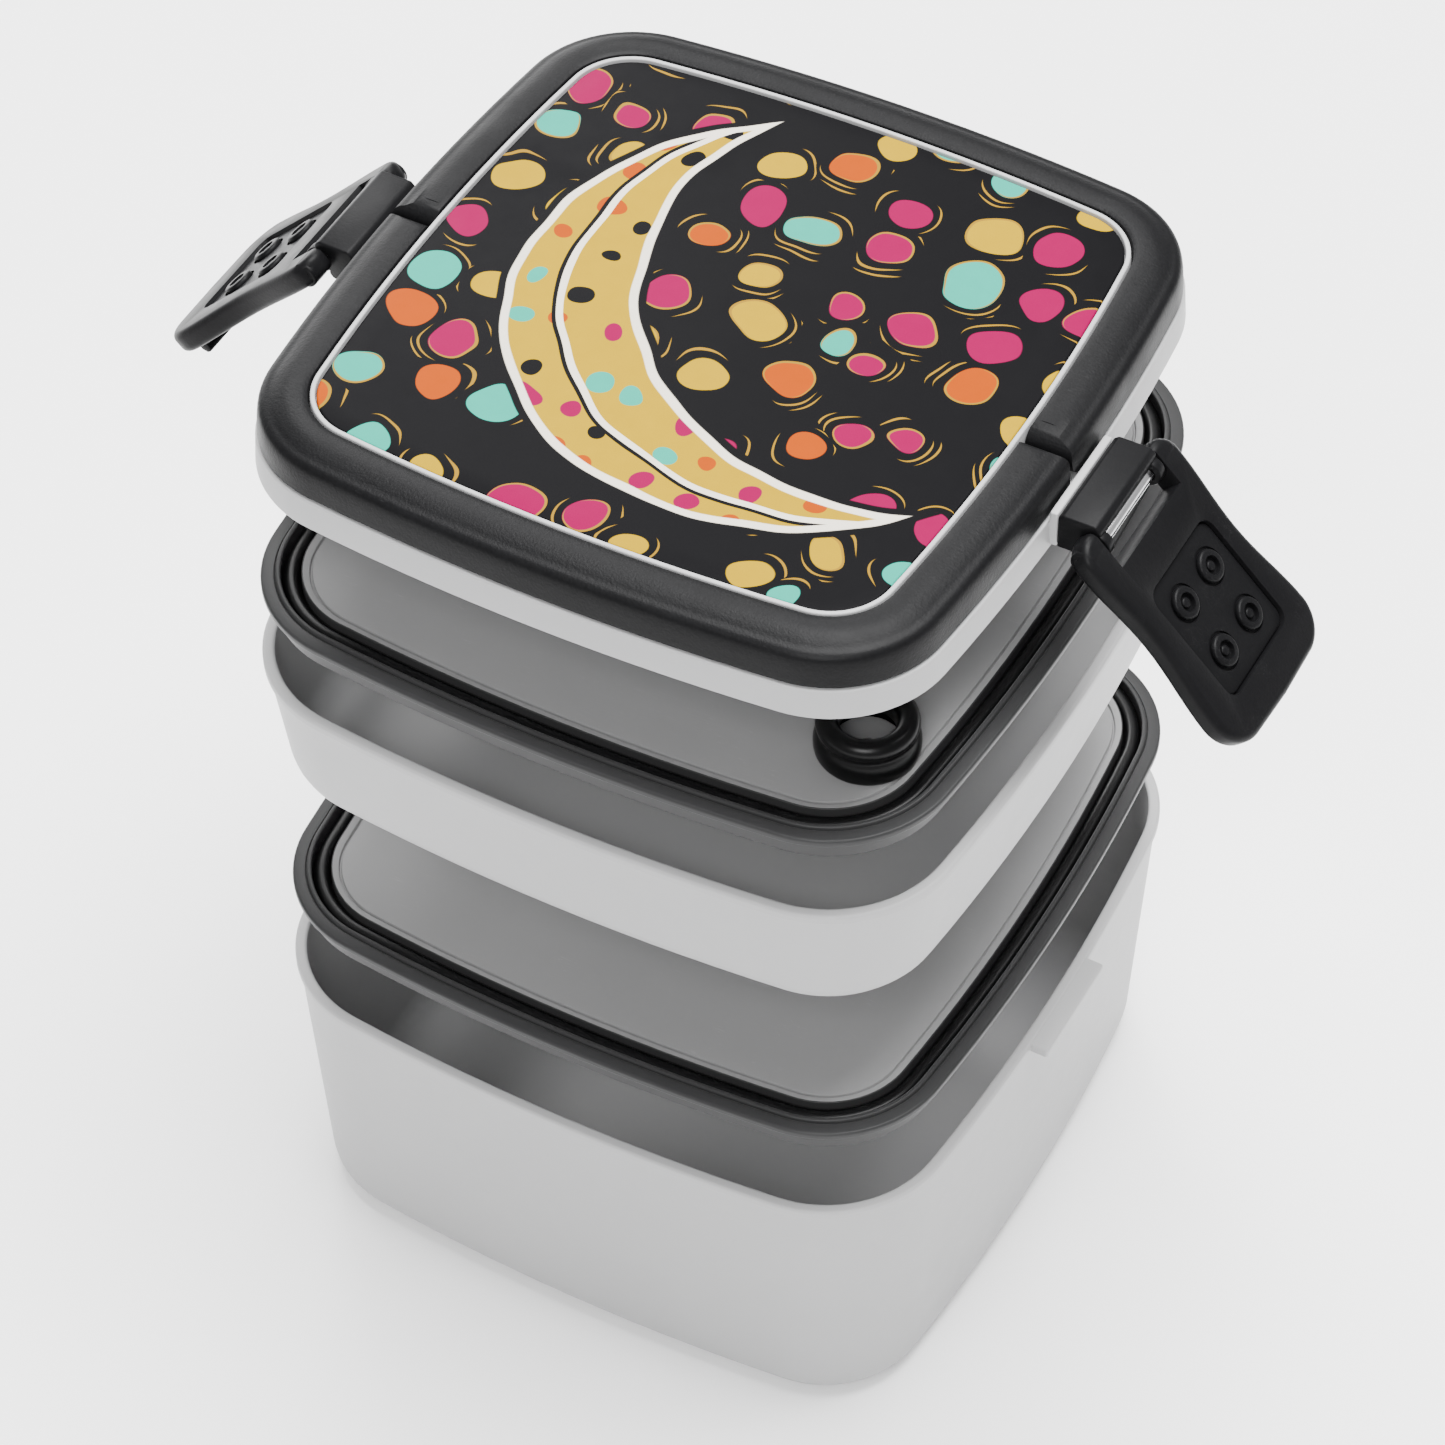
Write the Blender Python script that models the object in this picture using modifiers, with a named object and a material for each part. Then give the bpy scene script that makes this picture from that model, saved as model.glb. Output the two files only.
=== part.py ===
"""Square two-tier bento lunch box, its layers lifted apart and both side latches swung open.

Units are metres and +Z is up. The origin is the middle of the lower box's underside. Every layer is
a bowed square in plan, and all of those plans are parallel offsets of the lower box's rim.
"""

import math

import bmesh
import bpy
from mathutils import Matrix

MM = 0.001

# Plan shape: the rim's half-width, and the radii of its bowed sides and of its corners
RIM_HALF = 78.0 * MM
SIDE_RADIUS = 500.0 * MM
CORNER_RADIUS = 28.0 * MM
SIDE_STEPS = 4
CORNER_STEPS = 6

# Containers: from the underside to the rim's lower edge, then the rim band itself
BOX_DEPTH = 68.0 * MM
TRAY_DEPTH = 30.0 * MM
RIM_HEIGHT = 2.2 * MM
WALL = 1.7 * MM
FLOOR = 2.0 * MM

# Catch ledges on the lower box, where the latches hook under
LEDGE_REACH = 81.6 * MM
LEDGE_HALF_LENGTH = 13.5 * MM
LEDGE_HEIGHT = 2.7 * MM

# Lids between the layers
LID_FLOOR_TOP = 1.5 * MM
LID_FLOOR_UNDER = -0.6 * MM
LID_RIDGE_TOP = 2.4 * MM
SEAT_GAP = 0.3 * MM

# How far each layer is lifted off the one below it
MIDDLE_LID_LIFT = 22.0 * MM
TRAY_LIFT = 35.2 * MM
INNER_LID_LIFT = 18.2 * MM
OUTER_LID_LIFT = 30.6 * MM

# Steam vent on the inner lid
VENT_X, VENT_Y = 55.3 * MM, -46.7 * MM
VENT_BORE = 7.3 * MM
VENT_SPIGOT_RADIUS = 6.9 * MM

# Outer lid, measured up from the bottom of its skirt
PANEL_HALF = 61.8 * MM
PANEL_TOP = 15.4 * MM
RING_INNER, RING_OUTER = 64.6 * MM, 74.3 * MM
PIVOT_Y, PIVOT_Z = 3.0 * MM, 12.0 * MM
HANDLE_END_RADIUS = 4.1 * MM
TRIM_END_Y = PIVOT_Y - HANDLE_END_RADIUS - 0.5 * MM

# Side latches, measured from their hinge axis
LATCH_OPEN = math.radians(45.0)
HINGE_X, HINGE_Z = 84.6 * MM, 5.0 * MM
HINGE_PIN_RADIUS = 1.5 * MM
BLOCK_HALF_LENGTH = 12.2 * MM
EAR_INNER, EAR_OUTER = 12.7 * MM, 19.0 * MM
LATCH_TIP = 48.4 * MM
LATCH_BACK, LATCH_FACE = -2.3 * MM, 2.7 * MM
FIT_GAP = 0.4 * MM

ROUND_STEPS = 20

# Seat heights of the closed stack, each measured at the part's own zero
BOX_RIM_TOP = BOX_DEPTH + RIM_HEIGHT
MIDDLE_LID_SEAT = BOX_RIM_TOP + SEAT_GAP
TRAY_SEAT = MIDDLE_LID_SEAT + LID_FLOOR_TOP + SEAT_GAP
INNER_LID_SEAT = TRAY_SEAT + TRAY_DEPTH + RIM_HEIGHT + SEAT_GAP
OUTER_LID_SEAT = INNER_LID_SEAT + LID_RIDGE_TOP + SEAT_GAP
CATCH_DROP = OUTER_LID_SEAT + HINGE_Z - (BOX_RIM_TOP - LEDGE_HEIGHT)

COLOURS = {
    "white": ((0.80, 0.80, 0.80, 1.0), 0.38),
    "smoke": ((0.24, 0.24, 0.245, 1.0), 0.34),
    "silicone": ((0.012, 0.012, 0.013, 1.0), 0.55),
    "black": ((0.035, 0.035, 0.037, 1.0), 0.52),
    "print": ((0.030, 0.030, 0.032, 1.0), 0.40),
    "steel": ((0.72, 0.72, 0.74, 1.0), 0.22),
}


def outline(half):
    """Points of the bowed square with this half-width, counter-clockwise from the +X side."""
    inset = RIM_HALF - half
    side_radius = SIDE_RADIUS - inset
    corner_radius = CORNER_RADIUS - inset
    side_centre = half - side_radius
    reach = side_radius - corner_radius
    corner_centre = (side_centre + math.sqrt(2 * reach**2 - side_centre**2)) / 2
    lean = math.atan2(corner_centre, corner_centre - side_centre)
    quarter = []
    for i in range(SIDE_STEPS):
        turn = lean * (2 * i / SIDE_STEPS - 1)
        quarter.append((side_centre + side_radius * math.cos(turn), side_radius * math.sin(turn)))
    for i in range(CORNER_STEPS):
        turn = lean + (math.pi / 2 - 2 * lean) * i / CORNER_STEPS
        x = corner_centre + corner_radius * math.cos(turn)
        y = corner_centre + corner_radius * math.sin(turn)
        quarter.append((x, y))
    points = list(quarter)
    for _ in range(3):
        quarter = [(-y, x) for x, y in quarter]
        points += quarter
    return points


def arc(centre, radius, start, end, steps):
    """Points (a, b) of an arc about centre, from start to end degrees, both included."""
    turns = [math.radians(start + (end - start) * i / steps) for i in range(steps + 1)]
    return [(centre[0] + radius * math.cos(t), centre[1] + radius * math.sin(t)) for t in turns]


def clear_scene():
    for obj in list(bpy.data.objects):
        bpy.data.objects.remove(obj)


def collection(name):
    made = bpy.data.collections.new(name)
    bpy.context.scene.collection.children.link(made)
    return made


def material(name):
    found = bpy.data.materials.get(name)
    if found:
        return found
    made = bpy.data.materials.new(name)
    made.use_nodes = True
    shader = made.node_tree.nodes["Principled BSDF"]
    colour, roughness = COLOURS[name]
    shader.inputs["Base Color"].default_value = colour
    shader.inputs["Roughness"].default_value = roughness
    shader.inputs["Metallic"].default_value = 1.0 if name == "steel" else 0.0
    return made


def place(mesh, name, parent, finish=None):
    """An object holding mesh, under parent. With no finish it is a cutter or a joining helper."""
    obj = bpy.data.objects.new(name, mesh)
    obj.parent = parent
    if finish:
        PARTS.objects.link(obj)
        mesh.materials.append(material(finish))
        mesh.shade_smooth()
        mesh.set_sharp_from_angle(angle=math.radians(35))
    else:
        HELPERS.objects.link(obj)
        obj.hide_render = True
        obj.display_type = "WIRE"
    return obj


def seat(name, z=0.0, parent=None):
    """An empty that carries one layer at this height."""
    empty = bpy.data.objects.new(name, None)
    empty.location.z = z
    empty.parent = parent
    PARTS.objects.link(empty)
    return empty


def finished(bm, name):
    bm.normal_update()
    bmesh.ops.recalc_face_normals(bm, faces=bm.faces)
    mesh = bpy.data.meshes.new(name)
    bm.to_mesh(mesh)
    bm.free()
    return mesh


def lofted(name, profile, ring=False):
    """A solid whose plan is outline(half) at each (half, z) of the profile, in millimetres.

    The first outline is extruded from one station to the next. A ring closes on itself, and any
    other solid is capped at its first and last stations.
    """
    bm = bmesh.new()
    order = bm.verts.layers.int.new("order")
    half, z = profile[0]
    for i, (x, y) in enumerate(outline(half * MM)):
        bm.verts.new((x, y, z * MM))[order] = i
    bm.verts.ensure_lookup_table()
    count = len(bm.verts)
    edges = [bm.edges.new((bm.verts[i], bm.verts[(i + 1) % count])) for i in range(count)]
    first = edges
    for half, z in profile[1:] + (profile[:1] if ring else []):
        made = bmesh.ops.extrude_edge_only(bm, edges=edges)["geom"]
        points = outline(half * MM)
        for vert in (g for g in made if isinstance(g, bmesh.types.BMVert)):
            x, y = points[vert[order]]
            vert.co = (x, y, z * MM)
        edges = [g for g in made if isinstance(g, bmesh.types.BMEdge) and g.is_boundary]
    if ring:
        bmesh.ops.remove_doubles(bm, verts=bm.verts, dist=0.001 * MM)
    else:
        bmesh.ops.contextual_create(bm, geom=first)
        bmesh.ops.contextual_create(bm, geom=edges)
    return finished(bm, name)


def block(name, low, high):
    """A box between two corners, in millimetres."""
    bm = bmesh.new()
    size = [(b - a) * MM for a, b in zip(low, high)]
    middle = [(a + b) / 2 * MM for a, b in zip(low, high)]
    matrix = Matrix.Translation(middle) @ Matrix.Diagonal((*size, 1.0))
    bmesh.ops.create_cube(bm, size=1.0, matrix=matrix)
    return finished(bm, name)


def rod(name, radius, start, end, steps=ROUND_STEPS):
    """A cylinder between two points on a line parallel to X, Y or Z, all in metres."""
    along = [b - a for a, b in zip(start, end)]
    length = math.sqrt(sum(d * d for d in along))
    turn = {0: Matrix.Rotation(math.pi / 2, 4, "Y"), 1: Matrix.Rotation(math.pi / 2, 4, "X")}
    axis = max(range(3), key=lambda i: abs(along[i]))
    middle = [(a + b) / 2 for a, b in zip(start, end)]
    bm = bmesh.new()
    bmesh.ops.create_cone(
        bm,
        cap_ends=True,
        segments=steps,
        radius1=radius,
        radius2=radius,
        depth=length,
        matrix=Matrix.Translation(middle) @ turn.get(axis, Matrix.Identity(4)),
    )
    return finished(bm, name)


def extruded(name, points, depth, turn):
    """A flat outline (metres) extruded to depth about its plane, then turned by a matrix."""
    curve = bpy.data.curves.new(name, "CURVE")
    curve.dimensions = "2D"
    curve.fill_mode = "BOTH"
    curve.extrude = depth / 2
    spline = curve.splines.new("POLY")
    spline.points.add(len(points) - 1)
    for point, (a, b) in zip(spline.points, points):
        point.co = (a, b, 0.0, 1.0)
    spline.use_cyclic_u = True
    drawn = bpy.data.objects.new(name + "_outline", curve)
    HELPERS.objects.link(drawn)
    graph = bpy.context.evaluated_depsgraph_get()
    mesh = bpy.data.meshes.new_from_object(drawn.evaluated_get(graph))
    bpy.data.objects.remove(drawn)
    bm = bmesh.new()
    bm.from_mesh(mesh)
    bmesh.ops.remove_doubles(bm, verts=bm.verts, dist=0.001 * MM)
    bmesh.ops.dissolve_limit(bm, angle_limit=math.radians(0.5), verts=bm.verts, edges=bm.edges)
    bm.transform(turn)
    bpy.data.meshes.remove(mesh)
    return finished(bm, name)


def combine(target, operation, mesh, label):
    """Joins mesh to the target (UNION), or cuts it out (DIFFERENCE). Both share the target's frame."""
    helper = place(mesh, f"{target.name}_{label}", target.parent)
    modifier = target.modifiers.new(label, "BOOLEAN")
    modifier.operation = operation
    modifier.object = helper
    return helper


def round_edges(obj, width, segments=2, angle=50.0):
    bevel = obj.modifiers.new("rounded edges", "BEVEL")
    bevel.width = width
    bevel.segments = segments
    bevel.limit_method = "ANGLE"
    bevel.angle_limit = math.radians(angle)


def container_profile(depth):
    """Stations of a tapered tub with a rounded bottom and a rim band, from its underside."""
    depth_mm, rim_mm = depth / MM, RIM_HEIGHT / MM
    wall, floor = WALL / MM, FLOOR / MM
    outer_round = arc((66.0, 8.0), 8.0, -90, 0, 4)
    inner_round = arc((66.0, 8.0), 8.0 - floor, 0, -90, 3)
    top = depth_mm + rim_mm
    outside = [(half, z) for half, z in outer_round] + [(77.3, depth_mm), (78.0, depth_mm)]
    rim = [(78.0, top - 0.4), (77.6, top), (76.0, top), (77.3 - wall, top - 0.5)]
    inside = [(half + floor - wall, z) for half, z in inner_round]
    return outside + rim + inside


def make_container(name, depth, parent):
    return place(lofted(name, container_profile(depth)), name, parent, "white")


def make_lower_box(parent):
    box = make_container("lower_box", BOX_DEPTH, parent)
    top = BOX_RIM_TOP / MM - 0.15
    bottom = (BOX_RIM_TOP - LEDGE_HEIGHT) / MM
    reach = LEDGE_REACH / MM
    profile = [(76.4, bottom), (reach - 0.8, bottom), (reach, bottom + 0.8), (reach, top - 0.6)]
    profile += [(reach - 0.6, top), (76.4, top)]
    for side, turn in SIDES.items():
        shape = [(x * MM, z * MM) for x, z in profile]
        ledge = extruded(f"ledge_{side}", shape, 2 * LEDGE_HALF_LENGTH, turn @ UPRIGHT)
        combine(box, "UNION", ledge, f"catch_ledge_{side}")
    return box


def lid_profile():
    """Stations of a tier lid: floor, plug wall, rim flange, ridge and the gasket's open channel."""
    under, floor_top, ridge = LID_FLOOR_UNDER / MM, LID_FLOOR_TOP / MM, LID_RIDGE_TOP / MM
    return [
        (67.6, under),
        (67.6, -4.6),
        (68.2, -5.2),
        (74.0, -5.2),
        (74.6, -4.6),
        (75.0, 0.0),
        (76.5, 0.0),
        (76.8, 0.3),
        (76.8, 1.5),
        (76.5, 1.8),
        (75.1, 1.8),
        (74.9, 1.4),
        (74.6, ridge - 0.3),
        (74.3, ridge),
        (72.8, ridge),
        (72.8, -3.4),
        (69.6, -3.4),
        (69.6, 2.0),
        (68.4, 2.0),
        (68.2, floor_top),
    ]


def make_gasket(name, parent):
    """Silicone ring lying in a lid's channel."""
    profile = [(69.9, -3.1), (72.5, -3.1), (72.5, 0.7), (72.1, 1.1), (70.3, 1.1), (69.9, 0.7)]
    return place(lofted(name, profile, ring=True), name, parent, "silicone")


def make_inner_lid(parent):
    lid = place(lofted("inner_lid", lid_profile()), "inner_lid", parent, "smoke")
    top = LID_FLOOR_TOP
    low, high = (VENT_X, VENT_Y, top - 1.0 * MM), (VENT_X, VENT_Y, top + 1.7 * MM)
    combine(lid, "UNION", rod("spigot", VENT_SPIGOT_RADIUS, low, high), "vent_spigot")
    low, high = (VENT_X, VENT_Y, -2 * MM), (VENT_X, VENT_Y, 6 * MM)
    combine(lid, "DIFFERENCE", rod("hole", 1.2 * MM, low, high, 12), "vent_hole")
    return lid


def make_vent_plug(parent):
    """Silicone sleeve around the vent spigot, with a rolled lip and an open bore."""
    lip = arc((8.9, 8.0), 1.6, 160, -60, 7)
    profile = [(7.3, 7.6), *lip, (9.7, 5.6), (10.0, 2.6), (10.5, 1.4), (10.5, 0.3), (7.3, 0.3)]
    bm = bmesh.new()
    verts = [bm.verts.new((r * MM, 0.0, z * MM)) for r, z in profile]
    for a, b in zip(verts, verts[1:] + verts[:1]):
        bm.edges.new((a, b))
    mesh = bpy.data.meshes.new("vent_plug")
    bm.to_mesh(mesh)
    bm.free()
    plug = place(mesh, "vent_plug", parent, "silicone")
    plug.location = (VENT_X, VENT_Y, LID_FLOOR_TOP)
    screw = plug.modifiers.new("turned", "SCREW")
    screw.steps = screw.render_steps = 28
    screw.use_merge_vertices = True
    screw.merge_threshold = 0.01 * MM
    screw.use_smooth_shade = True
    return plug


def shell_profile():
    """Stations of the outer lid: print seat, raised rim, deck under the ring, and skirt."""
    return [
        (61.0, 11.8),
        (61.4, 9.9),
        (69.2, 9.9),
        (69.6, 5.6),
        (72.9, 5.2),
        (73.2, 0.4),
        (73.6, 0.0),
        (74.9, 0.0),
        (75.3, 0.4),
        (74.8, 7.0),
        (71.5, 7.0),
        (71.0, 11.5),
        (64.2, 11.5),
        (63.8, 15.5),
        (63.4, 15.9),
        (62.5, 15.9),
        (62.2, 15.5),
        (62.2, 13.6),
    ]


def make_lid_shell(parent):
    shell = place(lofted("lid_shell", shell_profile()), "lid_shell", parent, "white")
    y, z = PIVOT_Y / MM, PIVOT_Z / MM
    bracket = [(73.9, 1.0), (76.3, 1.0), (76.3, 9.3), (74.75, 9.3), (74.75, 6.6), (73.9, 6.6)]
    shape = [(a * MM, b * MM) for a, b in bracket]
    for side, turn in SIDES.items():
        bracket_mesh = extruded(f"bracket_{side}", shape, 26 * MM, turn @ UPRIGHT)
        combine(shell, "UNION", bracket_mesh, f"hinge_bracket_{side}")
    for side, sign in (("right", 1), ("left", -1)):
        ends = sorted((sign * 62.8, sign * 70.4))
        housing = block("housing", (ends[0], y - 6.0, 6.3), (ends[1], y + 6.0, 11.2))
        combine(shell, "UNION", housing, f"pivot_housing_{side}")
    for side, sign in (("right", 1), ("left", -1)):
        ends = sorted((sign * 64.45, sign * 72.0))
        pocket = block("pocket", (ends[0], y - 4.4, z - 4.2), (ends[1], y + 4.4, 14.0))
        combine(shell, "DIFFERENCE", pocket, f"pivot_pocket_{side}")
        start, end = (sign * 61.5 * MM, PIVOT_Y, PIVOT_Z), (sign * 72.8 * MM, PIVOT_Y, PIVOT_Z)
        combine(shell, "DIFFERENCE", rod("hole", 1.4 * MM, start, end, 16), f"pivot_hole_{side}")
    return shell


def ring_profile():
    """Closed section of the soft black ring: crowned top, shallow cove, rounded shoulder, lip."""
    inner, outer = RING_INNER / MM, RING_OUTER / MM
    return [
        (inner, 11.8),
        (inner, 15.2),
        (inner + 0.6, 15.8),
        (67.2, 16.1),
        (69.2, 15.8),
        (70.4, 15.0),
        (71.6, 14.6),
        (72.7, 14.3),
        (73.5, 13.2),
        (74.0, 10.8),
        (outer, 7.4),
        (72.1, 7.4),
        (71.6, 11.8),
    ]


def make_front_trim(parent):
    """The fixed front half of the ring."""
    mesh = lofted("front_trim", ring_profile(), ring=True)
    trim = place(mesh, "front_trim", parent, "black")
    rear = block("rear", (-90, TRIM_END_Y / MM, 0), (90, 90, 30))
    combine(trim, "DIFFERENCE", rear, "rear_half")
    return trim


def make_carry_handle(parent):
    """The rear half of the ring: a bail whose rounded ends turn on two pins."""
    mesh = lofted("carry_handle", ring_profile(), ring=True)
    handle = place(mesh, "carry_handle", parent, "black")
    y, z = PIVOT_Y / MM, PIVOT_Z / MM
    front = combine(handle, "DIFFERENCE", block("front", (-90, -90, 0), (90, y, 30)), "front_half")
    left, right = (-85 * MM, PIVOT_Y, PIVOT_Z), (85 * MM, PIVOT_Y, PIVOT_Z)
    spared = place(rod("spared", HANDLE_END_RADIUS, left, right, 24), "handle_end_round", parent)
    keep = front.modifiers.new("rounded end", "BOOLEAN")
    keep.operation = "DIFFERENCE"
    keep.object = spared
    for side, sign in (("right", 1), ("left", -1)):
        start, end = (sign * 64.9 * MM, PIVOT_Y, PIVOT_Z), (sign * 69.0 * MM, PIVOT_Y, PIVOT_Z)
        combine(handle, "UNION", rod("lobe", 3.6 * MM, start, end, 24), f"pivot_lobe_{side}")
        start, end = (sign * 60.0 * MM, PIVOT_Y, PIVOT_Z), (sign * 72.6 * MM, PIVOT_Y, PIVOT_Z)
        combine(handle, "DIFFERENCE", rod("hole", 1.4 * MM, start, end, 16), f"pin_hole_{side}")
    return handle


def make_handle_pins(parent):
    for side, sign in (("right", 1), ("left", -1)):
        start, end = (sign * 61.8 * MM, PIVOT_Y, PIVOT_Z), (sign * 72.2 * MM, PIVOT_Y, PIVOT_Z)
        name = f"handle_pin_{side}"
        place(rod(name, 1.15 * MM, start, end, 16), name, parent, "steel")


def make_print_panel(parent):
    """Printed panel pressed into the raised rim."""
    half, top = PANEL_HALF / MM, PANEL_TOP / MM
    profile = [(half, 13.9), (half, top - 0.2), (half - 0.3, top)]
    return place(lofted("print_panel", profile), "print_panel", parent, "print")


def make_hinge_block(side, parent):
    """Black block on the lid's side that carries the latch pin between two round cheeks."""
    name = f"hinge_block_{side}"
    profile = [(76.6, 1.4), (81.4, 1.4), (82.3, 2.4), (82.5, 7.0), (85.4, 7.0), (85.4, 8.9)]
    profile += [(84.4, 9.9), (77.2, 9.9), (76.6, 9.3)]
    shape = [(x * MM, z * MM) for x, z in profile]
    body = place(extruded(name, shape, 2 * BLOCK_HALF_LENGTH, UPRIGHT), name, parent, "black")
    for end in (-1, 1):
        start = (HINGE_X, end * 9.9 * MM, HINGE_Z)
        stop = (HINGE_X, end * (BLOCK_HALF_LENGTH - 0.02 * MM), HINGE_Z)
        cheek = rod("cheek", 2.9 * MM, start, stop)
        combine(body, "UNION", cheek, f"cheek_{'rear' if end > 0 else 'front'}")
    start, stop = (HINGE_X, -15 * MM, HINGE_Z), (HINGE_X, 15 * MM, HINGE_Z)
    combine(body, "DIFFERENCE", rod("hole", HINGE_PIN_RADIUS + 0.25 * MM, start, stop), "pin_hole")
    return body


def latch_outline():
    """Latch plate seen from outside: two ears, a drawn-in waist and a wide rounded tip."""
    ear, tip = EAR_OUTER / MM, -LATCH_TIP / MM
    notch = [(0.0, -5.8), (EAR_INNER / MM, -5.8), (EAR_INNER / MM, 2.2)]
    corner = arc((ear - 3.0, -0.8), 3.0, 90, 0, 4)
    waist = []
    for i in range(1, 9):
        share = i / 8
        width = ear + 0.6 * share - 1.5 * math.sin(math.pi * share) ** 2
        waist.append((width, -0.8 + (tip + 8.0 + 0.8) * share))
    end = arc((ear + 0.6 - 8.0, tip + 8.0), 8.0, 0, -84, 5)[1:]
    half = notch + corner + waist + end
    points = half[1:] + [(0.0, tip - 0.4)] + [(-a, b) for a, b in reversed(half[1:])]
    return [(a * MM, b * MM) for a, b in points]


def make_latch(side, hinge):
    """Latch plate with barrel ears, a hook behind its tip and a recess for the grip inlay."""
    name = f"latch_{side}"
    thick = LATCH_FACE - LATCH_BACK
    turn = Matrix.Translation(((LATCH_FACE + LATCH_BACK) / 2, 0, 0)) @ FACING_OUT
    latch = place(extruded(name, latch_outline(), thick, turn), name, hinge, "black")
    round_edges(latch, 1.0 * MM)
    for end in (-1, 1):
        start, stop = (0, end * EAR_INNER, 0), (0, end * (EAR_OUTER - 0.3 * MM), 0)
        label = "rear" if end > 0 else "front"
        combine(latch, "UNION", rod("barrel", 3.5 * MM, start, stop), f"ear_{label}")
        start, stop = (0, end * 10 * MM, 0), (0, end * 17.9 * MM, 0)
        hole = rod("hole", HINGE_PIN_RADIUS + 0.25 * MM, start, stop)
        combine(latch, "DIFFERENCE", hole, f"pin_hole_{label}")
    top = -(CATCH_DROP + FIT_GAP) / MM
    hook = [(-1.5, top), (-5.2, top), (-5.8, top - 0.6), (-5.8, top - 1.6), (-4.6, top - 2.4)]
    hook += [(-1.5, top - 2.4)]
    shape = [(a * MM, b * MM) for a, b in hook]
    combine(latch, "UNION", extruded("hook", shape, 25 * MM, UPRIGHT), "hook")
    recess = rounded_plate("recess", 10.8, 25.6, 3.3, 1.5, 5.0)
    combine(latch, "DIFFERENCE", recess, "inlay_recess")
    return latch


def rounded_plate(name, half_width, length, corner, back, face):
    """A plate on the latch's outer face with rounded corners, in millimetres."""
    top, bottom = -13.8 - corner, -13.8 - length + corner
    points = arc((half_width - corner, top), corner, 0, 90, 3)
    points += arc((corner - half_width, top), corner, 90, 180, 3)
    points += arc((corner - half_width, bottom), corner, 180, 270, 3)
    points += arc((half_width - corner, bottom), corner, 270, 360, 3)
    shape = [(a * MM, b * MM) for a, b in points]
    turn = Matrix.Translation(((back + face) / 2 * MM, 0, 0)) @ FACING_OUT
    return extruded(name, shape, (face - back) * MM, turn)


def make_latch_inlay(side, hinge):
    """Grip inlay with two rows of two round bosses."""
    name = f"latch_inlay_{side}"
    mesh = rounded_plate(name, 10.4, 25.2, 2.9, 1.8, 2.5)
    mesh.transform(Matrix.Translation((0, 0, -0.2 * MM)))
    inlay = place(mesh, name, hinge, "black")
    for row, z in enumerate((-20.4, -32.6)):
        for column, y in enumerate((-4.9, 4.9)):
            start, stop = (2.2 * MM, y * MM, z * MM), (3.0 * MM, y * MM, z * MM)
            combine(inlay, "UNION", rod("boss", 3.0 * MM, start, stop, 16), f"boss_{row}_{column}")
    return inlay


def make_latch_pin(side, parent):
    name = f"latch_pin_{side}"
    start, stop = (HINGE_X, -17.5 * MM, HINGE_Z), (HINGE_X, 17.5 * MM, HINGE_Z)
    return place(rod(name, HINGE_PIN_RADIUS, start, stop), name, parent, "steel")


def make_outer_lid(parent):
    make_lid_shell(parent)
    make_print_panel(parent)
    make_front_trim(parent)
    make_handle_pins(parent)
    make_carry_handle(parent)
    for side, angle in (("right", 0.0), ("left", math.pi)):
        frame = seat(f"{side}_side", 0.0, parent)
        frame.rotation_euler.z = angle
        make_hinge_block(side, frame)
        make_latch_pin(side, frame)
        hinge = seat(f"{side}_hinge_axis", HINGE_Z, frame)
        hinge.location.x = HINGE_X
        hinge.rotation_euler.y = -LATCH_OPEN
        make_latch(side, hinge)
        make_latch_inlay(side, hinge)


# A flat outline drawn in (x, y) is stood up in the XZ plane, or turned to face +X with y as height
UPRIGHT = Matrix.Rotation(math.pi / 2, 4, "X")
FACING_OUT = Matrix(((0, 0, 1, 0), (1, 0, 0, 0), (0, 1, 0, 0), (0, 0, 0, 1)))
SIDES = {"right": Matrix.Identity(4), "left": Matrix.Rotation(math.pi, 4, "Z")}

clear_scene()
PARTS = collection("bento_lunch_box")
HELPERS = collection("cutters_and_joining_pieces")

lift = 0.0
make_lower_box(seat("lower_box_base"))

lift += MIDDLE_LID_LIFT
middle = seat("middle_lid_seat", MIDDLE_LID_SEAT + lift)
place(lofted("middle_lid", lid_profile()), "middle_lid", middle, "smoke")
make_gasket("middle_lid_gasket", middle)

lift += TRAY_LIFT
make_container("upper_tray", TRAY_DEPTH, seat("upper_tray_seat", TRAY_SEAT + lift))

lift += INNER_LID_LIFT
inner = seat("inner_lid_seat", INNER_LID_SEAT + lift)
make_inner_lid(inner)
make_gasket("inner_lid_gasket", inner)
make_vent_plug(inner)

lift += OUTER_LID_LIFT
make_outer_lid(seat("outer_lid_seat", OUTER_LID_SEAT + lift))
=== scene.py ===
"""Looks of a square two-tier bento lunch box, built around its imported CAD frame.

Each sub-assembly is a class that holds its sizes in millimetres, models its pieces and
dresses them.
Every horizontal outline of the box is a parallel offset of one bowed square, the Plan.
"""

import logging
import math
from dataclasses import dataclass, field
from enum import Enum
from typing import Callable, Optional, Sequence

import bmesh
import bpy
from mathutils import Matrix, Vector

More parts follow.
